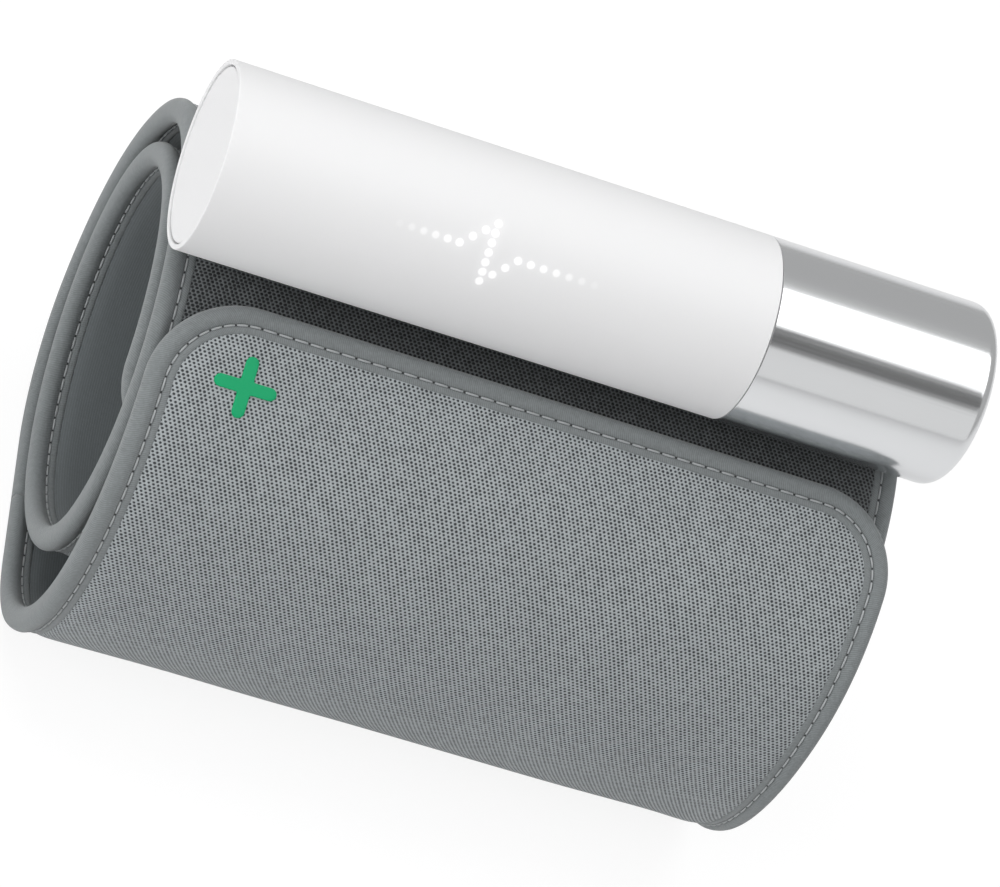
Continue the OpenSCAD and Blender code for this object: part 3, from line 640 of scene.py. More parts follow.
@dataclass
class Cloth:
    """Padded sandwich of knitted mesh outside and lining inside, pinched along its bound edges."""

    coil: Coil
    side: Side
    row: float = 1.15
    border: float = 4.7

    def _rows(self) -> Array:
        """Ways along the strip: close together at the rounded end, even beyond it."""
        split, total = self.coil.middle_of(self.coil.foot), self.coil.length()
        near = self.border + np.array([0, 0.15, 0.45, 0.9, 1.4, 2.0, 2.7, 3.5, 4.4, 5.4, 6.4, 7.4, 8.4])
        first = near[-1] + self.row
        if self.side is Side.FLAP:
            return np.concatenate([near, np.arange(first, split, self.row), [split]])
        return np.concatenate([np.arange(split, total - near[-1] - self.row, self.row), (total - near)[::-1]])

    def _columns(self, s: Array) -> Array:
        """Positions along the tube for each row: fixed steps near the edges, shares of the rest between."""
        coil, total = self.coil, self.coil.length()
        r = coil.corner - self.border
        end = np.minimum(s, total - s) - self.border
        drop = np.where(end < r, r - np.sqrt(np.maximum(r * r - (r - np.minimum(end, r)) ** 2, 0)), 0.0)
        half = coil.width / 2 - self.border - drop
        steps = np.array([0, 0.35, 0.8, 1.3, 1.9, 2.6, 3.4, 4.4, 5.6, 7.2, 9.0])
        left = -half[:, None] + steps
        middle = np.linspace(-1, 1, 42)[1:-1] * (half[:, None] - steps[-1])
        return np.concatenate([left, middle, -left[:, ::-1]], 1)

    def _offset(self, x: Array, s: Array, sign: float) -> Array:
        """Half thickness: full inside, pinched and puckered at the seam, with slow waves."""
        d = self.coil.inset(x, s)
        pucker = 0.07 * np.sin(2 * np.pi * (x + s) / STITCH_PITCH) * np.exp(-(((d - 4.5) / 2.6) ** 2))
        seat = self.coil.middle_of(self.coil.seat)
        foot = self.coil.middle_of(self.coil.foot)
        free = ease(8, 25, np.abs(s - seat)) * ease(14, 25, np.abs(s - foot)) * ease(6, 16, d)
        slow = 0.16 * free * (ripple(x, s, 3 if sign > 0 else 5, 22, 70) - 0.6)
        return sign * (self.coil.half - self.coil.pinch(d) + pucker + slow)

    def shape(self) -> Shape:
        """Both faces of the cloth as one closed body."""
        rows = self._rows()
        x = self._columns(rows)
        s = np.broadcast_to(rows[:, None], x.shape)
        upper = self.coil.place(x, s, self._offset(x, s, 1.0))
        lower = self.coil.place(x, s, self._offset(x, s, -1.0))
        one = np.ones_like(x)
        return slab(lower, upper, np.stack([x, s, -one], -1), np.stack([x, s, one], -1))


@dataclass
class Tape:
    """Binding tape folded round the strip's edge, with a full bead, a sewn groove and a flat lip."""

    coil: Coil
    side: Side
    step: float = 1.0
    stitch_at: float = 3.6
    stitch_half: float = 1.4
    section: tuple[tuple[float, float], ...] = (
        (5.3, 1.35), (5.3, 1.78), (5.1, 1.98), (4.6, 2.06), (4.05, 2.0), (3.75, 1.78), (3.45, 1.78),
        (3.15, 2.05), (2.6, 2.42), (1.9, 2.6), (1.1, 2.45), (0.5, 2.0), (0.12, 1.2), (0.0, 0.0),
    )

    def _run(self) -> float:
        """Length of the straight along one long side."""
        split = self.coil.middle_of(self.coil.foot)
        part = split if self.side is Side.FLAP else self.coil.length() - split
        return part - self.coil.corner

    def edge(self, u: Array) -> tuple[Array, Array, Array, Array]:
        """Edge line in the flat strip, its way u starting under the foot.

        A straight along one long side, a quarter circle, a straight across, a quarter circle and a
        straight back. The five parts are picked by the range that u falls in.

        Args:
            u: Way along the edge.

        Returns:
            x and s of the edge, and the inward direction's two parts.
        """
        r, run = self.coil.corner, self._run()
        half = self.coil.width / 2 - r
        arc = r * np.pi / 2
        a = [run, run + arc, run + arc + 2 * half, run + 2 * arc + 2 * half]
        p1, p2 = np.clip((u - a[0]) / r, 0, np.pi / 2), np.clip((u - a[2]) / r, 0, np.pi / 2)
        cross = np.clip(u - a[1], 0, 2 * half)
        turn = p1 + p2
        cx = half - cross
        cs = r + np.clip(run - u, 0, None) + np.clip(u - a[3], 0, None)
        nx, ns = np.cos(turn), -np.sin(turn)
        x, s = cx + r * nx, cs + r * ns
        if self.side is Side.WRAP:
            s, ns = self.coil.length() - s, -ns
        return x, s, -nx, -ns

    def span(self) -> float:
        """Length of the edge line."""
        r = self.coil.corner
        return 2 * self._run() + np.pi * r + self.coil.width - 2 * r

    def at(self, u: Array, d: Array, offset: Array) -> Array:
        """Point at way u, distance d inward and the given offset from the middle."""
        x, s, nx, ns = self.edge(u)
        return self.coil.place(x + nx * d, s + ns * d, offset)

    def shape(self) -> Shape:
        """The section carried along the edge line, closed by a flat face at each end."""
        half = rounded(np.array(self.section), 1)
        loop = np.vstack([half, (half[:-1] * [1, -1])[::-1]])
        u = np.linspace(0, self.span(), int(self.span() / self.step) + 1)
        full = 1 + 0.018 * ripple(u, 0 * u, 11, 9, 45)
        d = np.broadcast_to(loop[:, 0], (len(u), len(loop)))
        o = loop[:, 1] * np.where(loop[:, 0] < 3.0, full[:, None], 1.0)
        grid = self.at(np.broadcast_to(u[:, None], d.shape), d, o)
        side = np.sign(loop[:, 1]) + 0 * d
        mark = np.stack([np.broadcast_to(u[:, None], d.shape), d, side], -1).reshape(-1, 3)
        blocks = [grid_faces(*d.shape, True), *end_faces(*d.shape)]
        return Shape(grid.reshape(-1, 3), blocks, [0, 0, 0], {"lay": mark})

    def stitches(self) -> Shape:
        """Short lengths of thread along the groove on both faces.

        Each is five rings of six points: radius 0.21 in the middle, 0.08 at both tips, where the thread
        dips into the needle holes by 0.3.
        """
        count = int((self.span() - 4) / STITCH_PITCH)
        middle = (np.arange(count) + 1.0) * STITCH_PITCH
        t = np.array([-1.0, -0.82, 0.0, 0.82, 1.0])
        radius = np.array([0.08, 0.18, 0.21, 0.18, 0.08])
        lift = np.array([-0.32, 0.02, 0.1, 0.02, -0.32])
        ring = np.arange(6) * np.pi / 3
        shapes = []
        for face in (1.0, -1.0):
            u = middle[:, None, None] + self.stitch_half * t[None, :, None] + 0 * ring
            d = self.stitch_at + radius[None, :, None] * np.cos(ring) + 0 * u
            o = face * (1.86 + lift[None, :, None] + radius[None, :, None] * np.sin(ring)) + 0 * u
            shapes.append(self.at(u, d, o))
        points = np.concatenate(shapes).reshape(-1, 5, 6, 3)
        body = repeated(grid_faces(5, 6, True), len(points), 30)
        tips = repeated(np.concatenate(end_faces(5, 6)), len(points), 30)
        half = len(points) // 2
        body[half:], tips[half:] = body[half:, :, ::-1], tips[half:, :, ::-1]
        return Shape(points.reshape(-1, 3), [body.reshape(-1, 4), tips.reshape(-1, 6)])


@dataclass
class PlusSign:
    """Green sign on the flap: two crossing bars with round ends, moulded onto the mesh."""

    coil: Coil
    centre: tuple[float, float] = (-57.1, 14.9)
    wide: float = 12.2
    high: float = 11.8
    bar: float = 2.5
    fillet: float = 0.5

    def outline(self) -> Array:
        """Outline as one closed line, four round ends joined at small inner corners."""
        a, t = self.bar / 2, np.linspace(-np.pi / 2, np.pi / 2, 13)
        f = self.fillet
        inner = np.array([[a + f, a], [a + 0.15 * f, a + 0.15 * f], [a, a + f]])
        turn = np.array([[0.0, 1.0], [-1.0, 0.0]])
        line = []
        for k, reach in enumerate((self.wide, self.high, self.wide, self.high)):
            tip = np.stack([reach / 2 - a + a * np.cos(t), a * np.sin(t)], -1)
            line.append(np.vstack([tip, inner]) @ np.linalg.matrix_power(turn, k))
        return np.vstack(line)

    def shape(self) -> Shape:
        """Rings from the centre to the outline, lifted 0.3 and rounded over at the rim, closed below."""
        line = self.outline()
        share = np.array([0.02, 0.2, 0.4, 0.6, 0.8, 0.93, 0.985, 1.0, 1.0, 0.5, 0.02])
        lift = np.array([0.3, 0.3, 0.3, 0.3, 0.29, 0.27, 0.2, 0.08, -0.45, -0.45, -0.45])
        x = self.centre[0] + share[:, None] * line[:, 0]
        s = self.centre[1] + share[:, None] * line[:, 1]
        d = self.coil.inset(x, s)
        level = self.coil.half - self.coil.pinch(d) - 0.05
        grid = self.coil.place(x, s, level + lift[:, None])
        return Shape(grid.reshape(-1, 3), [grid_faces(*x.shape, True), *end_faces(*x.shape)])


@dataclass
class HookPatch:
    """Hook fastener on the lining of the flap: a flat base and a field of small bent hooks."""

    coil: Coil
    start: float = 7.2
    end: float = 34.8
    half_width: float = 59.8
    base: float = 1.1
    pitch: float = 1.7
    sunk: float = 0.12
    corner: float = 4.0

    def shape(self) -> Shape:
        """Base with round corners, following the lining."""
        rows = np.linspace(self.start, self.end, 24)
        r = self.corner
        near = np.minimum(rows - self.start, self.end - rows)
        drop = r - np.sqrt(np.maximum(r * r - (r - np.minimum(near, r)) ** 2, 0))
        x = (self.half_width - drop)[:, None] * np.linspace(-1, 1, 60)
        s = np.broadcast_to(rows[:, None], x.shape)
        top = -(self.coil.half - self.sunk)
        side = self.half_width - drop[:, None] - np.abs(x)
        rim = 0.25 * (1 - ease(0, 0.8, np.minimum(near[:, None], side)))
        mark = np.stack([x, s, 0 * x], -1)
        lower = self.coil.place(x, s, top - self.base + rim, False)
        return slab(lower, self.coil.place(x, s, top + 0 * x, False), mark, mark)

    def hooks(self) -> Shape:
        """Field of hooks: each is four rings of five points along a stem that bends over at the tip."""
        xs = np.arange(-self.half_width + 2.4, self.half_width - 2.4, self.pitch)
        ss = np.arange(self.start + 2.4, self.end - 2.4, self.pitch)
        x0, s0 = np.meshgrid(xs, ss, indexing="ij")
        x0 = x0 + np.where(np.arange(len(ss)) % 2, self.pitch / 2, 0.0)
        lean = np.array([0.0, 0.05, 0.3, 0.6])
        rise = np.array([0.0, 0.7, 1.15, 0.95])
        radius = np.array([0.26, 0.18, 0.17, 0.09])
        ring = np.arange(5) * 2 * np.pi / 5
        x = x0.ravel()[:, None, None] + radius[None, :, None] * np.cos(ring)
        s = s0.ravel()[:, None, None] + lean[None, :, None] + radius[None, :, None] * np.sin(ring)
        o = -(self.coil.half - self.sunk + self.base - 0.05) - rise[None, :, None] + 0 * x
        points = self.coil.place(x, s, o, False)
        stems = repeated(grid_faces(4, 5, True), len(points), 20)
        tips = repeated(np.concatenate(end_faces(4, 5)), len(points), 20)
        return Shape(points.reshape(-1, 3), [stems.reshape(-1, 4), tips.reshape(-1, 5)])


@dataclass
class Bladder:
    """Flat air chamber inside the inner turn of the strip."""

    coil: Coil
    half_width: float = 62.4
    low: float = -1.35
    high: float = -0.4

    def shape(self) -> Shape:
        """Thin pouch, a little fuller in the middle than at its welded rim."""
        begin = self.coil.runs()[0]
        rows = np.linspace(begin[8] + 0.3, begin[14] - 0.3, 150)
        x = self.half_width * np.linspace(-1, 1, 40) + 0 * rows[:, None]
        s = np.broadcast_to(rows[:, None], x.shape)
        rim = np.minimum(self.half_width - np.abs(x), np.minimum(s - rows[0], rows[-1] - s))
        thin = 0.3 * (1 - ease(0, 4, rim))
        mark = np.stack([x, s, 0 * x], -1)
        lower = self.coil.place(x, s, self.low + thin, False)
        return slab(lower, self.coil.place(x, s, self.high - thin, False), mark, mark)


# ---------------------------------------------------------------- the tube
@dataclass(frozen=True)
class TubeAxis:
    """Where the tube lies: its axis is along X, found from the seat of the strip."""

    coil: Coil
    length: float = 158.0
    radius: float = 18.5
    seam: float = 111.0
    lean: float = 10.0
    seat_height: float = 24.0

    def centre(self) -> tuple[float, float]:
        """Y and Z of the axis: the seat's middle, moved outward by the seat height."""
        way = np.array(self.coil.middle_of(self.coil.seat))
        mid = self.coil.place(np.array(0.0), way, np.array(self.seat_height))
        return float(mid[1]), float(mid[2])

    def point(self, x: Array, r: Array, angle: Array) -> Array:
        """Point at way x from the rim, radius r and angle in degrees from +Y towards +Z."""
        y, z = self.centre()
        a = np.radians(angle)
        x, r, a = np.broadcast_arrays(x, r, a)
        return np.stack([x - self.length / 2, y + r * np.cos(a), z + r * np.sin(a)], -1)


@dataclass
class LightDots:
    """Twenty-four light dots in the shape of a pulse, seen through the white shell."""

    start: float = 47.1
    base: float = -0.15
    pitch: float = 2.4
    tail: float = 2.6
    face: float = 136.0

    def places(self) -> Array:
        """Way along the tube and arc length from the display's middle for each dot, with its brightness."""
        lead = [(self.start - (5 - i) * self.pitch, self.base) for i in range(6)]
        rise = [(self.start + i * 2.07, self.base - i * 1.84) for i in (1, 2, 3)]
        top = rise[-1]
        fall = [(top[0] - 0.3 * np.sin(i * np.pi / 6), top[1] + i * 1.9) for i in range(1, 7)]
        low = fall[-1]
        back = [(low[0] + i * 1.87, low[1] - i * 1.96) for i in (1, 2, 3)]
        tail = [(back[-1][0] + i * self.tail, self.base) for i in range(1, 7)]
        dots = np.array(lead + rise + fall + back + tail)
        bright = np.ones(len(dots))
        bright[:5] = (0.06, 0.16, 0.3, 0.45, 0.7)
        bright[-6:] = (0.8, 0.62, 0.5, 0.3, 0.18, 0.08)
        return np.column_stack([dots, bright])

    def glow(self, x: Array, angle: Array, radius: float) -> Array:
        """Brightness on the skin: a soft disc of radius 0.7 and a faint halo of width 1.4 for each dot."""
        dots = self.places()
        arc = np.radians(angle - self.face) * radius
        far = np.hypot(x[..., None] - dots[:, 0], arc[..., None] - dots[:, 1])
        disc = 1 - ease(0.38, 0.95, far)
        halo = 0.08 * np.exp(-((far / 1.4) ** 2))
        return np.clip(((disc + halo) * dots[:, 2]).sum(-1), 0, 1)


@dataclass
class WhiteShell:
    """White tube wall with a thin rounded rim; its grid is finer over the light dots."""

    axis: TubeAxis
    dots: LightDots
    lip: float = 1.05
    wall: float = 1.5

    def shape(self) -> Shape:
        """The wall's section turned round the axis.

        The section is a closed line: seam edge, outer line, rim, well for the button, bore and seam
        face. The angle takes 0.6 degree steps over the display and 3 degree steps elsewhere.
        """
        r, end = self.axis.radius, self.axis.seam
        lip, bore = r - self.lip, r - self.wall
        display = np.arange(32.5, 76.5, 0.2)
        outer = np.concatenate([np.arange(2, 32, 4.0), display, np.arange(80, 108, 4.0)])[::-1]
        rim = turned([[0.62, r], [0.2, r], [0.0, r - 0.14], [0.0, r - 0.9], [0.12, lip], [0.5, lip]])
        well = np.array([[3.45, lip], [3.5, bore], [end - 0.06, bore]])
        seam = turned([[end - 0.05, r - 1.4], [end - 0.05, r - 0.12], [end - 0.17, r], [end - 0.32, r]])
        line = np.vstack([np.column_stack([outer, np.full(len(outer), r)]), rim, well, seam])
        angle = np.concatenate([np.arange(112, 160, 0.6), np.arange(160, 472, 3.0)])
        x = np.broadcast_to(line[:, 0], (len(angle), len(line)))
        grid = self.axis.point(x, line[:, 1], angle[:, None])
        glow = self.dots.glow(x, np.broadcast_to(angle[:, None], x.shape), r)
        glow = np.where(line[:, 1] > r - 0.01, glow, 0.0)
        return Shape(grid.reshape(-1, 3), [ring_faces(*x.shape)], [0], {"glow": glow.ravel()})


@dataclass
class MetalSleeve:
    """Metal wall with a rounded closed end and the socket opening in it."""

    axis: TubeAxis
    wall: float = 1.2
    end_wall: float = 1.6
    round_edge: float = 3.0
    slot: tuple[float, float] = (4.65, 1.75)

    def shape(self) -> Shape:
        """Rings from the seam over the rounded edge to the socket opening, and back along the inside.

        Each ring is a mix of a circle and the opening's outline: share times the opening plus (1 - share)
        times the circle. The opening is a rounded rectangle: a cos t and b sin t, each to the power 1/3.
        """
        axis, r = self.axis, self.axis.radius
        t = np.radians(np.arange(0, 360, 2.0))
        bend = np.linspace(0, np.pi / 2, 12)
        k, e, begin = self.round_edge, axis.length, axis.seam
        bore, back = r - self.wall, e - self.end_wall
        seam = turned([[begin + 0.02, bore], [begin + 0.02, r - 0.1], [begin + 0.12, r], [begin + 0.3, r]])
        wall = np.column_stack([np.linspace(begin + 4, e - k - 4, 8), np.full(8, r)])
        edge = np.column_stack([e - k + k * np.sin(bend), r - k + k * np.cos(bend)])
        rings = [(x, ring, 0.0) for x, ring in np.vstack([seam, wall, edge])]
        rings += [(e, r - k, m) for m in (0.12, 0.3, 0.5, 0.7, 0.85, 0.95, 0.985)]
        rings += [(x, r - k, 1.0) for x in (e - 0.08, e - 0.4, back)]
        rings += [(back, bore - 2, 0.5), (back, bore - 1, 0.0), (back - 1, bore, 0.0), (begin + 4, bore, 0.0)]
        x, radius, share = np.array(rings).T
        a, b = self.slot
        oy = a * np.sign(np.cos(t)) * np.abs(np.cos(t)) ** (1 / 3)
        oz = b * np.sign(np.sin(t)) * np.abs(np.sin(t)) ** (1 / 3)
        ly = share[:, None] * oy + (1 - share[:, None]) * radius[:, None] * np.cos(t)
        lz = share[:, None] * oz + (1 - share[:, None]) * radius[:, None] * np.sin(t)
        cy, cz = axis.centre()
        c, s = np.cos(np.radians(axis.lean)), np.sin(np.radians(axis.lean))
        way = x[:, None] - e / 2 + 0 * ly
        grid = np.stack([way, cy + ly * c - lz * s, cz + ly * s + lz * c], -1)
        return Shape(grid.reshape(-1, 3), [ring_faces(*ly.shape)])


@dataclass
class EndButton:
    """Round button that fills the white end, with its stem."""

    axis: TubeAxis
    face: float = 0.3
    radius: float = 17.15
    stem: tuple[tuple[float, float], ...] = (
        (2.4, 4.3), (2.5, 4.05), (2.8, 4.0), (9.6, 4.0), (9.6, 3.3), (10.2, 3.3),
        (10.2, 3.95), (10.3, 3.85), (10.3, 1.7), (10.38, 1.5), (10.38, 0.3),
    )

    def shape(self) -> Shape:
        """Section turned round the axis: a face dished by 0.1, a rounded edge, the back and the stem."""
        r, face = self.radius, self.face
        share = np.linspace(0.0005, 0.96, 14)
        disc = np.column_stack([face + 0.1 * (1 - share**2), share * r])
        edge = turned([[face, r - 0.6], [face, r - 0.2], [face + 0.15, r], [face + 0.6, r]])
        back = np.array([[2.2, r], [2.35, r - 0.12], [2.4, r - 0.4]])
        line = np.vstack([disc, edge, back, self.stem])
        angle = np.arange(0, 360, 3.0)
        rows, cols = len(angle), len(line)
        grid = self.axis.point(np.broadcast_to(line[:, 0], (rows, cols)), line[:, 1], angle[:, None])
        poles = (np.arange(rows) * cols)[None]
        caps = [poles[:, ::-1], poles + cols - 1]
        return Shape(grid.reshape(-1, 3), [ring_faces(rows, cols, False), *caps])


# ---------------------------------------------------------------- finishes
class Finishes:
    """Every finish of the object, made once and found by the record's slot name."""

    def __init__(self) -> None:
        """Sets the values; colours are linear."""
        self.values: dict[str, Finish] = {f.name: f for f in (
            KnitFinish(
                "outer_mesh", (0.405, 0.436, 0.45), 0.8, depth=0.00022, variation=0.2, sheen=0.2,
                hole=(0.035, 0.04, 0.043), size=0.245,
            ),
            WeaveFinish(
                "lining_cloth", (0.148, 0.165, 0.171), 0.85, depth=0.00004, variation=0.14, sheen=0.2,
                pitch=0.5, slant=0.0,
            ),
            WeaveFinish(
                "binding_tape", (0.2, 0.218, 0.222), 0.75, depth=0.00008, variation=0.2, sheen=0.25,
                stitch_at=3.6,
            ),
            Finish("stitch_thread", (0.42, 0.44, 0.448), 0.75, grain=5000, depth=0.00004, sheen=0.2),
            Finish("foam", (0.8, 0.8, 0.77), 0.9, grain=2500, depth=0.0002),
            WeaveFinish("hook_tape", (0.05, 0.055, 0.06), 0.7, depth=0.0001, pitch=0.8),
            Finish(
                "green_print", (0.008, 0.375, 0.15), 0.6, grain=4000, depth=0.00003, variation=0.05,
                specular=0.25,
            ),
            Finish("bladder_film", (0.7, 0.68, 0.62), 0.35, depth=0.00005, coat=0.2),
            Finish("clear_sheet", (0.7, 0.73, 0.76), 0.2, coat=0.3),
            BrushedFinish("plate_metal", (0.55, 0.56, 0.58), 0.3, metallic=1.0),
            GlowFinish(
                "white_plastic", (0.84, 0.84, 0.845), 0.55, grain=2200, depth=0.000008, variation=0.008,
                specular=0.2,
            ),
            Finish("button_plastic", (0.83, 0.83, 0.835), 0.45, grain=2200, depth=0.000008, variation=0.008),
            Finish("grey_plastic", (0.6, 0.6, 0.59), 0.45, grain=1800),
            BrushedFinish(
                "sleeve_metal", (0.79, 0.8, 0.81), 0.16, metallic=1.0, depth=0.000003, variation=0.015
            ),
            BrushedFinish("steel", (0.5, 0.5, 0.51), 0.3, metallic=1.0, depth=0.00001),
            Finish("seal_rubber", (0.018, 0.018, 0.019), 0.6, depth=0.00004),
            Finish("black_plastic", (0.012, 0.012, 0.014), 0.45),
            CircuitFinish("pcb_green", (0.015, 0.12, 0.045), 0.35, variation=0.5, coat=0.3),
            Finish("chip_black", (0.014, 0.014, 0.016), 0.5, grain=4000),
            Finish("led", (0.85, 0.84, 0.7), 0.2, coat=0.5),
            Finish("flex_amber", (0.5, 0.22, 0.04), 0.3, coat=0.4),
            Finish("cell_wrap", (0.035, 0.1, 0.32), 0.3, coat=0.4),
            BrushedFinish("contact_brass", (0.62, 0.52, 0.28), 0.25, metallic=1.0),
            Finish("hose_silicone", (0.5, 0.5, 0.49), 0.55),
            BrushedFinish("can_metal", (0.42, 0.43, 0.45), 0.35, metallic=1.0),
        )}
        self.made: dict[str, Material] = {}

    def get(self, name: str) -> Material:
        """The finish's material, made on first use."""
        if name not in self.made:
            self.made[name] = self.values[name].make()
        return self.made[name]

    def dress_parts(self) -> None:
        """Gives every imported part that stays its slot's material."""
        for row in frame["record"]["subparts"]:
            mesh = frame["nodes"][row["node"]].data
            slot = row["material_slot"]
            mesh.materials.clear()
            mesh.materials.append(self.get("button_plastic" if slot == "white_plastic" else slot))


# ---------------------------------------------------------------- assemblies
@dataclass
class Cuff:
    """The whole padded strip with its binding, stitching, sign, fastener and air chamber."""

    coil: Coil
    finishes: Finishes

    def _settle(self, piece: bpy.types.Object, side: Side) -> None:
        """Bakes a flap piece's place into its mesh and hangs a wrap piece on the monitor body."""
        if side is Side.FLAP:
            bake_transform(piece)
        else:
            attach(piece, "monitor")

    def build(self) -> None:
        """Makes the pieces in order."""
        get = self.finishes.get
        for side in Side:
            faces = [get("outer_mesh"), get("lining_cloth")]
            cloth = make_piece(side.value + "_cloth", Cloth(self.coil, side).shape(), faces)
            self._settle(cloth, side)
            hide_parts(side.value + "_mesh", side.value + "_padding", side.value + "_lining")
            edge = Tape(self.coil, side)
            tape = make_piece(side.value + "_tape", edge.shape(), [get("binding_tape")])
            self._settle(tape, side)
            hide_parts(side.value + "_binding")
            thread = make_piece(side.value + "_stitches", edge.stitches(), [get("stitch_thread")])
            self._settle(thread, side)
        sign = make_piece("plus_sign", PlusSign(self.coil).shape(), [get("green_print")])
        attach(sign, "flap")
        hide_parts("plus_mark")
        patch = HookPatch(self.coil)
        base = make_piece("hook_base", patch.shape(), [get("hook_tape")] * 2)
        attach(base, "flap")
        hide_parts("hook_patch")
        hooks = make_piece("hook_field", patch.hooks(), [get("hook_tape")])
        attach(hooks, "flap")
        pouch = make_piece("air_pouch", Bladder(self.coil).shape(), [get("bladder_film")] * 2)
        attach(pouch, "monitor")
        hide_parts("air_bladder")


@dataclass
class Tube:
    """White shell, metal sleeve and end button."""

    axis: TubeAxis
    finishes: Finishes

    def build(self) -> None:
        """Makes the three visible walls of the tube."""
        get = self.finishes.get
        shell = make_piece("shell_wall", WhiteShell(self.axis, LightDots()).shape(), [get("white_plastic")])
        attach(shell, "monitor")
        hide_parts("white_shell")
        sleeve = make_piece("sleeve_wall", MetalSleeve(self.axis).shape(), [get("sleeve_metal")])
        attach(sleeve, "monitor")
        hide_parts("metal_sleeve")
        button = make_piece("end_button", EndButton(self.axis).shape(), [get("button_plastic")])
        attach(button, "button")
        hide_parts("button_cap")


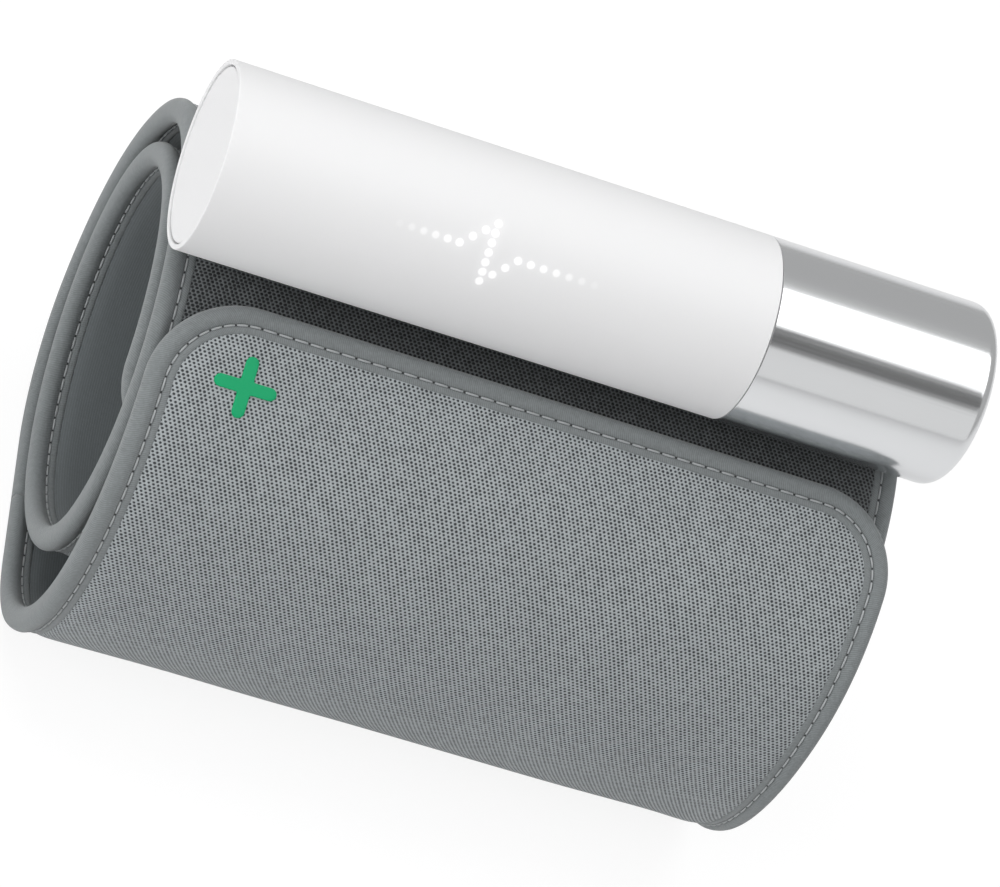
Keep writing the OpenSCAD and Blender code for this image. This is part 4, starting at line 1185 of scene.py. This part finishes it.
@dataclass
class Studio:
    """Floor, soft lamps, pale surroundings and the camera."""

    axis: TubeAxis
    eye: tuple[float, float, float] = (-0.271613, -0.579735, 0.755125)
    right: tuple[float, float, float] = (0.913673, 0.045471, 0.403899)
    down: tuple[float, float, float] = (0.281516, -0.787572, -0.54816)
    ahead: tuple[float, float, float] = (0.293174, 0.614543, -0.732384)
    lens: float = 170.9247
    aim: float = 0.03
    half_floor: float = 6.0
    flag_grey: float = 0.14

    def camera(self) -> None:
        """Camera at the photograph's place and angle."""
        data = bpy.data.cameras.new("camera")
        data.lens, data.sensor_width, data.clip_start, data.clip_end = self.lens, 36.0, 0.01, 50.0
        cam = bpy.data.objects.new("camera", data)
        bpy.context.scene.collection.objects.link(cam)
        turn = np.eye(4)
        turn[:3, 0], turn[:3, 1], turn[:3, 2] = self.right, np.negative(self.down), np.negative(self.ahead)
        turn[:3, 3] = self.eye
        cam.matrix_world = Matrix(turn.tolist())
        bpy.context.scene.camera = cam

    def _card(self, name: str, wide: float, high: float, material: Material) -> bpy.types.Object:
        """Flat card of the given half sizes that belongs to the stage."""
        data = bpy.data.meshes.new(name)
        corners = [(-wide, -high, 0), (wide, -high, 0), (wide, high, 0), (-wide, high, 0)]
        data.from_pydata(corners, [], [(0, 1, 2, 3)])
        data.materials.append(material)
        card = bpy.data.objects.new(name, data)
        bpy.context.scene.collection.objects.link(card)
        return card

    def floor(self) -> None:
        """Pale floor that keeps the shadow; straight from the camera it is mixed with plain white."""
        material = bpy.data.materials.new("floor_white")
        material.use_nodes = True
        board = Board(material.node_tree)
        board.tree.nodes.remove(board.tree.nodes["Principled BSDF"])
        matt = board.add("BsdfDiffuse", Color=(0.82, 0.82, 0.825))
        plain = board.add("Emission", Color=(1.0, 1.0, 1.0), Strength=1.1)
        path = board.add("LightPath").outputs
        seen = board.times(path["Is Camera Ray"], 0.8)
        share = board.math("MAXIMUM", seen, board.times(self._shiny(board, path), 0.3))
        mix = board.add("MixShader", i0=share, i1=matt.outputs[0], i2=plain.outputs[0])
        board.feed(board.tree.nodes["Material Output"].inputs[0], mix.outputs[0])
        self._card("floor", self.half_floor, self.half_floor, material)

    def _shiny(self, board: Board, path: bpy.types.NodeOutputs) -> Socket:
        """Is 1 for what metal and clear pieces show."""
        return board.math("MAXIMUM", path["Is Glossy Ray"], path["Is Transmission Ray"])

    def _toward(self, angle: float, along: float, distance: float) -> Matrix:
        """Place round the tube that faces a point of its axis.

        Args:
            angle: Degrees round the axis from +Y towards +Z.
            along: Way along the tube for each metre outward.
            distance: Metres outward from the axis.

        Returns:
            The place, with Z pointing away from the tube.
        """
        y, z = self.axis.centre()
        a = np.radians(angle)
        out = np.array([along, np.cos(a), np.sin(a)])
        face = out / np.linalg.norm(out)
        up = np.cross(face, [1.0, 0.0, 0.0])
        up /= np.linalg.norm(up)
        turn = np.eye(4)
        turn[:3, 0], turn[:3, 1], turn[:3, 2] = np.cross(up, face), up, face
        turn[:3, 3] = np.array([self.aim, y * MM, z * MM]) + out * distance
        return Matrix(turn.tolist())

    def lamp(
        self, name: str, angle: float, along: float, distance: float,
        size: tuple[float, float], power: float, gloss: bool,
    ) -> None:
        """Soft rectangular lamp round the tube's axis.

        Args:
            name: The lamp's name.
            angle: Degrees round the axis from +Y towards +Z.
            along: Way along the tube for each metre outward.
            distance: Metres outward from the axis.
            size: Length along the tube and width, in metres.
            power: Power in watts.
            gloss: Whether it lights what gloss shows, or only the matt light.
        """
        data = bpy.data.lights.new(name, "AREA")
        data.shape, data.size, data.size_y, data.energy = "RECTANGLE", size[0], size[1], power
        lamp = bpy.data.objects.new(name, data)
        bpy.context.scene.collection.objects.link(lamp)
        lamp.matrix_world = self._toward(angle, along, distance)
        lamp.visible_glossy, lamp.visible_diffuse, lamp.visible_transmission = gloss, not gloss, gloss

    def flag(self) -> None:
        """Grey card behind the gap between the lamps; it shows only in gloss, as a line on the metal."""
        material = bpy.data.materials.new("flag_grey")
        material.use_nodes = True
        shader = material.node_tree.nodes["Principled BSDF"]
        shader.inputs["Base Color"].default_value = (*BLACK, 1.0)
        shader.inputs["Emission Color"].default_value = (*(self.flag_grey,) * 3, 1.0)
        shader.inputs["Emission Strength"].default_value = 1.0
        card = self._card("flag", 0.8, 0.3, material)
        card.matrix_world = self._toward(130.0, 0.306, 1.25)
        card.visible_camera = card.visible_diffuse = card.visible_shadow = False

    def surroundings(self) -> None:
        """Even pale room light; the room itself looks white, and gloss sees a grey one, lighter on top."""
        world = bpy.data.worlds.new("room")
        bpy.context.scene.world = world
        world.use_nodes = True
        board = Board(world.node_tree)
        shade = world.node_tree.nodes["Background"]
        path = board.add("LightPath").outputs
        up = board.add("SeparateXYZ", Vector=board.add("TexCoord").outputs["Generated"]).outputs[2]
        matt = board.span(up, -0.2, 1.0, 0.25, 0.26)
        gloss = board.span(up, 0.7, 0.95, 0.46, 0.6)
        shiny = self._shiny(board, path)
        level = board.plus(board.times(gloss, shiny), board.times(matt, board.less(1.0, shiny)))
        board.feed(shade.inputs["Strength"], board.math("MAXIMUM", level, path["Is Camera Ray"]))
        board.feed(shade.inputs["Color"], (1.0, 1.0, 1.0))

    def build(self) -> None:
        """Sets the stage."""
        self.camera()
        self.floor()
        self.surroundings()
        self.lamp("back_light", 66.0, 0.0, 1.0, (1.5, 1.1), 5.8, False)
        self.lamp("front_light", 107.0, 0.0, 1.0, (1.5, 1.1), 5.9, False)
        self.lamp("end_light", 150.0, -2.2, 0.45, (0.7, 0.8), 5.4, False)
        self.lamp("top_softbox", 94.5, 0.3, 0.85, (1.1, 0.74), 3.6, True)
        self.lamp("front_softbox", 162.0, 0.3, 1.0, (1.3, 0.72), 0.95, True)
        self.flag()
        bpy.context.scene.view_settings.view_transform = "Standard"


def main() -> None:
    """Builds the monitor and its stage."""
    logging.basicConfig(level=logging.INFO, format="%(name)s %(message)s")
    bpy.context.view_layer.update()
    coil = Coil()
    axis = TubeAxis(coil)
    finishes = Finishes()
    finishes.dress_parts()
    Cuff(coil, finishes).build()
    Tube(axis, finishes).build()
    Studio(axis).build()
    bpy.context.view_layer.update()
    log.info("tube axis at %s", axis.centre())


if __name__ == "__main__":
    main()
